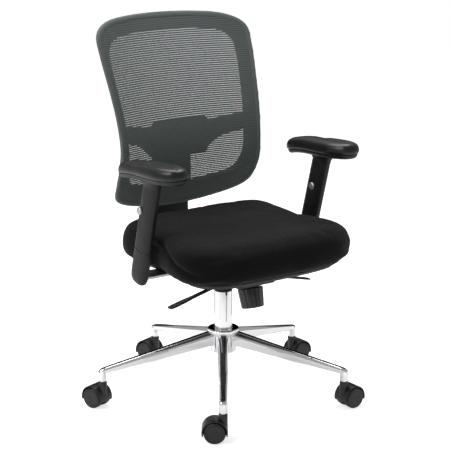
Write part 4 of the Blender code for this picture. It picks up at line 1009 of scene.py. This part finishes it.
def inflate(piece, pressure, travel):
    """Blows a closed cover up against its own cloth, and holds each point near its start."""
    start = np.array([v.co for v in piece.data.vertices])
    cloth = piece.modifiers.new("cover", "CLOTH")
    cloth.settings.quality = 5
    cloth.settings.mass = 0.25
    cloth.settings.tension_stiffness = 12
    cloth.settings.use_pressure = True
    cloth.settings.uniform_pressure_force = pressure
    cloth.settings.effector_weights.gravity = 0
    cloth.point_cache.frame_start, cloth.point_cache.frame_end = 1, 20
    for step in range(1, 21):
        bpy.context.scene.frame_set(step)
    graph = bpy.context.evaluated_depsgraph_get()
    blown = piece.evaluated_get(graph).to_mesh()
    end = np.array([v.co for v in blown.vertices])
    piece.evaluated_get(graph).to_mesh_clear()
    piece.modifiers.remove(cloth)
    bpy.context.scene.frame_set(1)
    move = end - start
    length = np.linalg.norm(move, axis=1, keepdims=True)
    share = np.minimum(1.0, travel / np.maximum(length, 1e-9))
    piece.data.vertices.foreach_set("co", (start + move * share).ravel())
    piece.data.update()


def shape_seat(piece):
    """Sculpts the cover: the tuck behind each arm, the drawn-in front corners and faint wrinkles."""
    work = bmesh.new()
    work.from_mesh(piece.data)
    work.normal_update()
    low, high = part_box("seat_cushion")
    for v in work.verts:
        x, y, z = v.co - AXIS
        rise = (v.co.z - low.z) / (high.z - low.z)
        side = max(0.0, abs(x) / 0.262)
        ahead = min(1.0, max(0.0, -y) / 0.26)
        line = 0.76 - 0.52 * ahead**1.6
        reach = 1 / (1 + math.exp(-(y + 0.235) / 0.012)) / (1 + math.exp((y - 0.02) / 0.03))
        flank = min(1.0, max(0.0, side - 0.74) / 0.12)
        depth = 0.0100 * reach * math.exp(-((rise - line) / 0.055) ** 2) * flank
        corner = math.exp(-((abs(x) - 0.215) / 0.040) ** 2 - ((y + 0.275) / 0.055) ** 2)
        depth += 0.0035 * corner * (0.5 + 0.5 * math.sin(26 * (rise + 0.35 * side) * math.pi / 4))
        depth += 0.0014 * (noise.noise(Vector((x * 14, y * 14, z * 22))) + 0.2)
        pull = 0.0022 * math.exp(-((rise - 0.075) / 0.030) ** 2)
        v.co -= v.normal * (depth + pull)
    work.to_mesh(piece.data)
    work.free()


def build_cushion():
    outline = smooth_loop(SEAT_OUTLINE, 8)
    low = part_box("seat_cushion")[0].z
    rear = max(p.y for p in outline)
    rings = []
    for inset, height in through(CUSHION_PROFILE, 4):
        ring = []
        for p in inset_loop(outline, float(inset) + COVER_SLACK):
            back = max(0.0, (p.y - CUSHION_RISE_START) / (rear - CUSHION_RISE_START))
            wider = 1 + COVER_WIDENING * min(1.0, max(0.0, -0.050 - p.y) / 0.080)
            thickness = CUSHION_THICKNESS - 2 * COVER_SLACK + CUSHION_REAR_RISE * back
            ring.append((p.x * wider, p.y, low + 0.001 + height * thickness))
        rings.append(ring)
    mesh = mesh_of("seat_cushion_cover", [skin(rings)])
    mesh.transform(TO_CHAIR)
    piece = place_object("seat_cushion_cover", mesh, SEAT_CLOTH)
    remesh = piece.modifiers.new("remesh", "REMESH")
    remesh.mode = "VOXEL"
    remesh.voxel_size = 0.006
    smooth = piece.modifiers.new("smooth", "SMOOTH")
    smooth.iterations = 3
    apply_modifiers(piece)
    inflate(piece, 4.0, 0.0065)
    shape_seat(piece)
    finer = piece.modifiers.new("finer", "SUBSURF")
    finer.levels = finer.render_levels = 1
    apply_modifiers(piece)
    piece.data.shade_smooth()
    settle(piece, "seat", ["seat_cushion"])


def apply_modifiers(piece):
    graph = bpy.context.evaluated_depsgraph_get()
    made = bpy.data.meshes.new_from_object(piece.evaluated_get(graph), depsgraph=graph)
    old = piece.data
    piece.modifiers.clear()
    piece.data = made
    made.name = piece.name
    bpy.data.meshes.remove(old)


def build_seat_shell():
    """The moulded pan under the cushion, with a rolled edge and a raised rib round its underside."""
    outline = smooth_loop(SEAT_OUTLINE, 8)
    under = (
        (0.150, 0.0010), (0.078, 0.0010), (0.074, 0), (0.068, 0), (0.064, 0.0010), (0.054, 0.0006),
        (0.050, 0.0016),
    )
    over = ((0.046, -0.0040), (0.042, -0.0022), (0.0385, -0.0012), (0.038, 0), (0.044, 0))
    levels = [(inset, SHELL_LOW + z) for inset, z in under]
    levels += [(inset, SHELL_HIGH + z) for inset, z in over]
    rings = [[(p.x, p.y, z) for p in inset_loop(outline, inset)] for inset, z in levels]
    make_piece("seat_shell_moulded", [skin(rings)], DULL, "seat", ["seat_shell"])


# ---------------------------------------------------------------- back


def back_surface(x, z):
    """How far back the front face of the backrest lies, at this width and height."""
    slope = RECLINE_SLOPE if z > LUMBAR_Z else TAIL_SLOPE
    rise = (z - LUMBAR_Z) / BEND_LENGTH
    middle = LUMBAR_Y + slope * BEND_LENGTH * (math.sqrt(1 + rise**2) - 1)
    wrap = WRAP_LOW + WRAP_GROWTH * (z - BACK_OUTLINE[-1][1])
    return middle - wrap * x**2


def rail_depth(z):
    down = min(1.0, (BACK_OUTLINE[0][1] - z) / RAIL_DEPTH_LENGTH)
    return RAIL_DEPTH[0] + (RAIL_DEPTH[1] - RAIL_DEPTH[0]) * down


def build_rails():
    """The back frame: one rounded section carried round the outline."""
    outer = smooth_loop(BACK_OUTLINE, 9)
    inner = smooth_loop(BACK_WINDOW, 9)
    rings = []
    for a, b in zip(outer, inner):
        width = (b - a).length
        depth = rail_depth((a.y + b.y) / 2)
        corners = [(0, 0), (width, 0), (width, depth), (RAIL_TAPER * width, depth)]
        section = rounded(corners, 0.0050, 4, closed=True)
        ring = []
        for across, deep in section:
            p = a.lerp(b, across / width)
            ring.append((p.x, back_surface(*p) + deep, p.y))
        rings.append(ring)
    make_piece("back_frame_rails", [skin(rings, closed=True)], DULL, "seat", ["back_frame"])


def crossbar_section(share):
    x = share * CROSSBAR_HALF_WIDTH
    wing = min(1.0, max(0.0, (abs(share) - 0.40) / 0.34))
    wing = wing * (2 - wing)
    outside = max(0.0, (abs(share) - 0.42) / 0.58)
    low, high = 0.655 + 0.033 * wing + 0.030 * outside, 0.742 + 0.024 * outside
    front = CROSSBAR_Y - CROSSBAR_WRAP * x**2
    rear = front + CROSSBAR_THICKNESS
    corners = [(front, low), (front, high), (rear, high), (rear, low)]
    return [(x, y, z) for y, z in rounded(corners, 0.0045, 4, closed=True)]


def build_back_support():
    """The crossbar's wings, the spine that takes the back bar, and the bar itself."""
    steps = 48
    wings = skin([crossbar_section(2 * k / steps - 1) for k in range(steps + 1)])
    rings = []
    corners = [(-0.060, 0.240), (0.060, 0.240), (0.060, 0.268), (-0.060, 0.268)]
    outline = rounded(corners, 0.0055, 4, closed=True)
    levels = ((0.010, 0.545), (0.003, 0.548), (0.0, 0.556), (0.0, 0.690), (0.003, 0.698), (0.008, 0.700))
    for inset, z in levels:
        narrow, thin = 1 - inset / 0.06, 1 - inset / 0.03
        rings.append([(p.x * narrow, 0.254 + (p.y - 0.254) * thin, z) for p in outline])
    make_piece("back_crossbar", [wings, skin(rings)], DULL, "seat", ["back_frame"])
    ribs = []
    for x in (-0.030, 0.0, 0.030):
        rib = [oval(0.0016, 0.0022 * size, 2.5, 16) for size in (0.3, 1.0, 1.0, 0.3)]
        slices = zip(rib, (0.572, 0.577, 0.668, 0.673))
        ribs.append(skin([[(x + u, 0.268 + v, z) for u, v in ring] for ring, z in slices]))
    make_piece("spine_ribs", ribs, DULL, "seat")
    thick, low_thick, bend = 0.0120, 0.0064, 0.045
    front, top = 0.2505, SHELL_LOW - GAP
    back = front + thick
    centre = Vector((back - bend, top - low_thick + bend))
    spine = [(Vector((0.118, top)), Vector((0.118, top - low_thick)))]
    for k in range(25):
        angle = math.pi / 2 * k / 24
        now = low_thick + (thick - low_thick) * k / 24
        out = Vector((math.sin(angle), -math.cos(angle)))
        spine.append((centre + (bend - now) * out, centre + bend * out))
    spine.append((Vector((front, 0.620)), Vector((back, 0.620))))
    rings = []
    for a, b in spine:
        thickness = (b - a).length
        right, left = -BAR_HALF_WIDTH, BAR_HALF_WIDTH
        corners = [(right, 0), (left, 0), (left, thickness), (right, thickness)]
        section = rounded(corners, 0.0020, 3, closed=True)
        rings.append([(u, *(a.lerp(b, v / thickness))) for u, v in section])
    make_piece("back_bar_formed", [skin(rings)], POWDER, "seat", ["back_bar"])


def build_lumbar():
    """The sliding pad behind the net, slightly crowned."""
    rings = []
    steps = 32
    for k in range(steps + 1):
        share = 2 * k / steps - 1
        x = share * 0.094
        trim = 0.010 * max(0.0, (abs(share) - 0.86) / 0.14) ** 2
        rear = CROSSBAR_Y - CROSSBAR_WRAP * x**2 - 0.0008
        front = rear - 0.0120 * (1 - 0.35 * max(0.0, (abs(share) - 0.9) / 0.1) ** 2)
        corners = [(front, 0.655 + trim), (front, 0.762 - trim), (rear, 0.762 - trim), (rear, 0.655 + trim)]
        rings.append([(x, y, z) for y, z in rounded(corners, 0.0040, 4, closed=True)])
    pad = make_piece("lumbar_pad_moulded", [skin(rings)], SKIN_PAD, "lumbar", ["lumbar_pad"])


def net_grid():
    """The net's cells, a column wide and a row high, on the back's curve. They end under the hem."""
    edge = inset_loop(smooth_loop(BACK_OUTLINE, 9), NET_REACH)
    columns = int(NET_HALF_WIDTH / NET_COLUMN)
    rows = int((BACK_OUTLINE[0][1] - BACK_OUTLINE[-1][1]) / NET_ROW) + 1
    low = BACK_OUTLINE[-1][1]

    def inside(x, z):
        crossings = 0
        for a, b in zip(edge, edge[1:] + edge[:1]):
            if (a.y > z) != (b.y > z) and x < a.x + (z - a.y) * (b.x - a.x) / (b.y - a.y):
                crossings += 1
        return crossings % 2 == 1

    points, faces, index, kept = [], [], {}, {}
    for i in range(-columns, columns + 1):
        for j in range(rows + 1):
            kept[i, j] = inside(i * NET_COLUMN, low + j * NET_ROW)
    for i in range(-columns, columns):
        for j in range(rows):
            corners = [(i, j), (i + 1, j), (i + 1, j + 1), (i, j + 1)]
            if not all(kept[c] for c in corners):
                continue
            for c in corners:
                if c not in index:
                    index[c] = len(points)
                    x, z = c[0] * NET_COLUMN, low + c[1] * NET_ROW
                    points.append((x, back_surface(x, z) - NET_STANDOFF, z))
            faces.append([index[c] for c in corners])
    mesh = bpy.data.meshes.new("net cells")
    mesh.from_pydata([tuple(Vector(p) + AXIS) for p in points], [], faces)
    return mesh, len(faces) * NET_ROW * NET_COLUMN


def net_maker():
    """Opens one small hole in each cell: the face is set in, then its middle is taken out."""
    inputs = {"Hole Width": ("NodeSocketFloat", 0.5), "Hole Height": ("NodeSocketFloat", 0.2)}
    tree, given = new_maker("perforated net", inputs)
    inputs = {"Mesh": given["Geometry"], "Offset Scale": 0.0, "Individual": True}
    split = add_node(tree, "GeometryNodeExtrudeMesh", inputs, mode="FACES")
    cells = split.outputs["Top"]

    def shrink(geometry, scale, axis):
        inputs = {"Geometry": geometry, "Selection": cells, "Scale": scale, "Axis": axis}
        kind = "GeometryNodeScaleElements"
        return add_node(tree, kind, inputs, domain="FACE", scale_mode="SINGLE_AXIS").outputs["Geometry"]

    narrowed = shrink(split.outputs["Mesh"], given["Hole Width"], (1, 0, 0))
    facing = add_node(tree, "GeometryNodeInputNormal").outputs["Normal"]
    uphill = add_node(tree, "ShaderNodeVectorMath", {0: facing, 1: (1, 0, 0)}, operation="CROSS_PRODUCT")
    lowered = shrink(narrowed, given["Hole Height"], uphill.outputs["Vector"])
    inputs = {"Geometry": lowered, "Selection": cells}
    opened = add_node(tree, "GeometryNodeDeleteGeometry", inputs, domain="FACE", mode="ONLY_FACE")
    inputs = {"Geometry": opened.outputs["Geometry"], "Distance": 0.00001}
    merged = add_node(tree, "GeometryNodeMergeByDistance", inputs)
    end_maker(tree, merged.outputs["Geometry"], NET_YARN)
    return tree


def build_net():
    cells, area = net_grid()
    net = run_maker("back_net", cells, net_maker(), NET_YARN, Hole_Width=0.50, Hole_Height=0.23)
    settle(net, "seat", ["back_mesh"])
    outline = smooth_loop(BACK_OUTLINE, 9)
    path = (  # inwards from the outline, and proud of the net
        (0.0110, 0.0005), (0.0088, 0.0012), (0.0040, 0.0014), (0.0008, 0.0006), (-0.0009, -0.0012),
        (-0.0014, -0.0040), (-0.0014, -0.0100), (-0.0006, -0.0112), (-0.0002, -0.0100), (-0.0002, -0.0042),
        (0.0006, -0.0016), (0.0040, 0.0), (0.0108, -0.0002),
    )
    rings = []
    for k, point in enumerate(outline):
        along = (outline[(k + 1) % len(outline)] - outline[k - 1]).normalized()
        inward = Vector((along.y, -along.x))
        ring = []
        for inset, proud in path:
            p = point + inset * inward
            ring.append((p.x, back_surface(*p) - NET_STANDOFF - proud, p.y))
        rings.append(ring)
    hem = make_piece("back_net_edge", [skin(rings, closed=True)], NET_YARN, "seat", crease=60)


# ---------------------------------------------------------------- arms


def arm_frame(sign):
    at = AXIS + Vector((sign * ARM_X, ARM_FOOT_Y, ARM_BOTTOM))
    flare, lean = Matrix.Rotation(sign * ARM_FLARE, 4, "Y"), Matrix.Rotation(ARM_LEAN, 4, "X")
    return Matrix.Translation(at) @ flare @ lean


def upright_ring(along, scale=1.0, wider=0.0, level=0):
    """One oval slice of the upright. Level takes the arm's sign, for a slice that lies flat."""
    lean = math.tan(ARM_LEAN + PAD_PITCH) * abs(level)
    flare = math.tan(ARM_FLARE) / math.cos(ARM_LEAN) * level
    points = oval(UPRIGHT_WIDTH / 2 * scale + wider, UPRIGHT_DEPTH / 2 * scale + wider, UPRIGHT_EXPONENT, 56)
    return [(x, y, along - y * lean + x * flare) for x, y in points]


def build_upright(side, sign):
    place = arm_frame(sign)
    foot = [(0.0, 0.30), (0.0015, 0.52), (0.005, 0.73), (0.010, 0.86), (0.018, 0.95), (0.030, 1.0)]
    rings = [upright_ring(s, scale) for s, scale in (*foot, (SEAM - 0.0012, 1.0))]
    rings += [upright_ring(SEAM - GAP, 1.0, -0.0008), upright_ring(SEAM - GAP, 0.8)]
    make_piece(f"arm_{side}_shroud_moulded", [skin(rings)], SMOOTH, "seat",
               [f"arm_{side}_shroud"], place)
    flare = 0.022
    rings = [
        upright_ring(SEAM + GAP, 0.8),
        upright_ring(SEAM + GAP, 1.0, -0.0008),
        upright_ring(SEAM + 0.0012),
        upright_ring(SLEEVE_TOP - flare - 0.006),
    ]
    for k in range(9):
        t = k / 8
        level = sign * min(1.0, t * 1.4)
        rings.append(upright_ring(SLEEVE_TOP - flare * (1 - t), 1.0, 0.0060 * t**2, level))
    sleeve = place_object(f"arm_{side}_sleeve_moulded", mesh_of("sleeve", [skin(rings)]), SMOOTH)
    pocket = [(0, 0.0044), (0.0112, 0.0044), (0.0112, 0.030), (0, 0.030)]
    sideways = Matrix.Rotation(-math.pi / 2, 4, "Y")
    at_button = Matrix.Translation((0, BUTTON_BACKSET[side], BUTTON_HEIGHT)) @ sideways
    cutter = place_object("pocket cutter", mesh_of("pocket", [turned(pocket, 40, at_button)]), SMOOTH)
    cut = sleeve.modifiers.new("pocket", "BOOLEAN")
    cut.operation = "DIFFERENCE"
    cut.object = cutter
    lip = sleeve.modifiers.new("lip", "BEVEL")
    lip.width = 0.0007
    lip.segments = 3
    lip.limit_method = "ANGLE"
    lip.angle_limit = math.radians(50)
    apply_modifiers(sleeve)
    bpy.data.objects.remove(cutter)
    sleeve.data.transform(place)
    shade(sleeve.data, 35)
    settle(sleeve, f"arm_{side}", [f"arm_{side}_sleeve"])
    inner, outer = UPRIGHT_WIDTH / 2 - 0.0065, UPRIGHT_WIDTH / 2 + 0.0045
    face = [(0.0083, outer - 0.0002), (0.0045, outer), (0, outer)]
    profile = [(0, inner), (BUTTON_RADIUS, inner), (BUTTON_RADIUS, outer - 0.0022), *face]
    button = turned(rounded(profile, 0.0012, 4), 48, at_button)
    make_piece(f"arm_{side}_button_turned", [button], BUTTON, f"arm_{side}_button_body",
               [f"arm_{side}_button"], place)


def pad_droop(y):
    """How far the pad's rear end bends down, this far behind the upright."""
    return PAD_DROOP * max(0.0, (y - PAD_DROOP_START) / (PAD_REACH + PAD_BACKSET - PAD_DROOP_START)) ** 2


def build_pad(side, sign):
    top = arm_frame(sign) @ Vector((0, 0, SLEEVE_TOP))
    place = Matrix.Translation(top) @ Matrix.Rotation(-PAD_PITCH, 4, "X")
    outline = [p + Vector((0, PAD_BACKSET)) for p in smooth_loop(PAD_OUTLINE, 8)]
    levels = (
        (0.0170, 0.0003), (0.0120, 0.0010), (0.0075, 0.0045), (0.0060, 0.0070), (0.0045, 0.0110),
        (0.0040, 0.0128), (0.0050, 0.0133),
    )
    rings = [[(p.x, p.y, z - pad_droop(p.y)) for p in inset_loop(outline, inset)] for inset, z in levels]
    make_piece(f"arm_{side}_pad_base_moulded", [skin(rings, across=True)], SMOOTH,
               f"arm_{side}", [f"arm_{side}_pad_base"], place)
    levels = (
        (0.0060, 0.0), (0.0032, 0.02), (0.0012, 0.10), (0.0, 0.24), (0.0, 0.36), (0.0007, 0.48),
        (0.0018, 0.60), (0.0036, 0.72), (0.0066, 0.82), (0.0105, 0.90), (0.0150, 0.955),
        (0.0200, 0.985), (0.0255, 1.0), (0.0300, 1.0),
    )
    rings = []
    for inset, share in levels:
        ring = []
        for p in inset_loop(outline, inset):
            along = (p.y - PAD_BACKSET) / PAD_REACH
            crown = share**2 * 0.0022 * (math.cos(along * math.pi / 2) - 1)
            ring.append((p.x, p.y, PAD_BOTTOM + share * (PAD_TOP - PAD_BOTTOM) + crown))
        rings.append(ring)
    points, faces = skin(rings, across=True)
    shaped = []
    for x, y, z in points:
        share = (z - PAD_BOTTOM) / (PAD_TOP - PAD_BOTTOM)
        along = (y - PAD_BACKSET) / PAD_REACH
        roll = sign * x - 0.018 - 0.016 * math.sin(along * 2.2)
        fade = max(0.0, min(1.0, (share - 0.55) / 0.3)) * max(0.0, 1 - along**4)
        groove = 0.0034 * math.exp(-(roll / 0.0065) ** 2) * fade
        shaped.append((x, y, z - groove - pad_droop(y)))
    pad = make_piece(f"arm_{side}_pad_cover", [(shaped, faces)], SKIN_PAD, f"arm_{side}",
                     [f"arm_{side}_pad"], place, 60)


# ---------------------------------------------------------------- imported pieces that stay


def finish_kept_pieces():
    """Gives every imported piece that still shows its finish."""
    finishes = {
        "chrome": CHROME, "steel": STEEL, "spring_steel": SPRING, "button_metal": BUTTON,
        "black_metal": POWDER, "black_plastic": SMOOTH, "wheel_nylon": NYLON, "soft_pad": SKIN_PAD,
        "seat_fabric": SEAT_CLOTH, "back_mesh": NET_YARN,
    }
    slots = {part["node"]: part["material_slot"] for part in frame["record"]["subparts"]}
    for name, node in frame["nodes"].items():
        node.data.materials.clear()
        node.data.materials.append(finishes[slots[name]])


# ---------------------------------------------------------------- the chair

finish_kept_pieces()
set_stage(*set_camera())
build_base()
build_column()
build_casters()
build_knob()
build_levers()
build_screws()
build_cushion()
build_seat_shell()
build_rails()
build_back_support()
build_lumbar()
build_net()
for arm_side, arm_sign in SIDES.items():
    build_upright(arm_side, arm_sign)
    build_pad(arm_side, arm_sign)
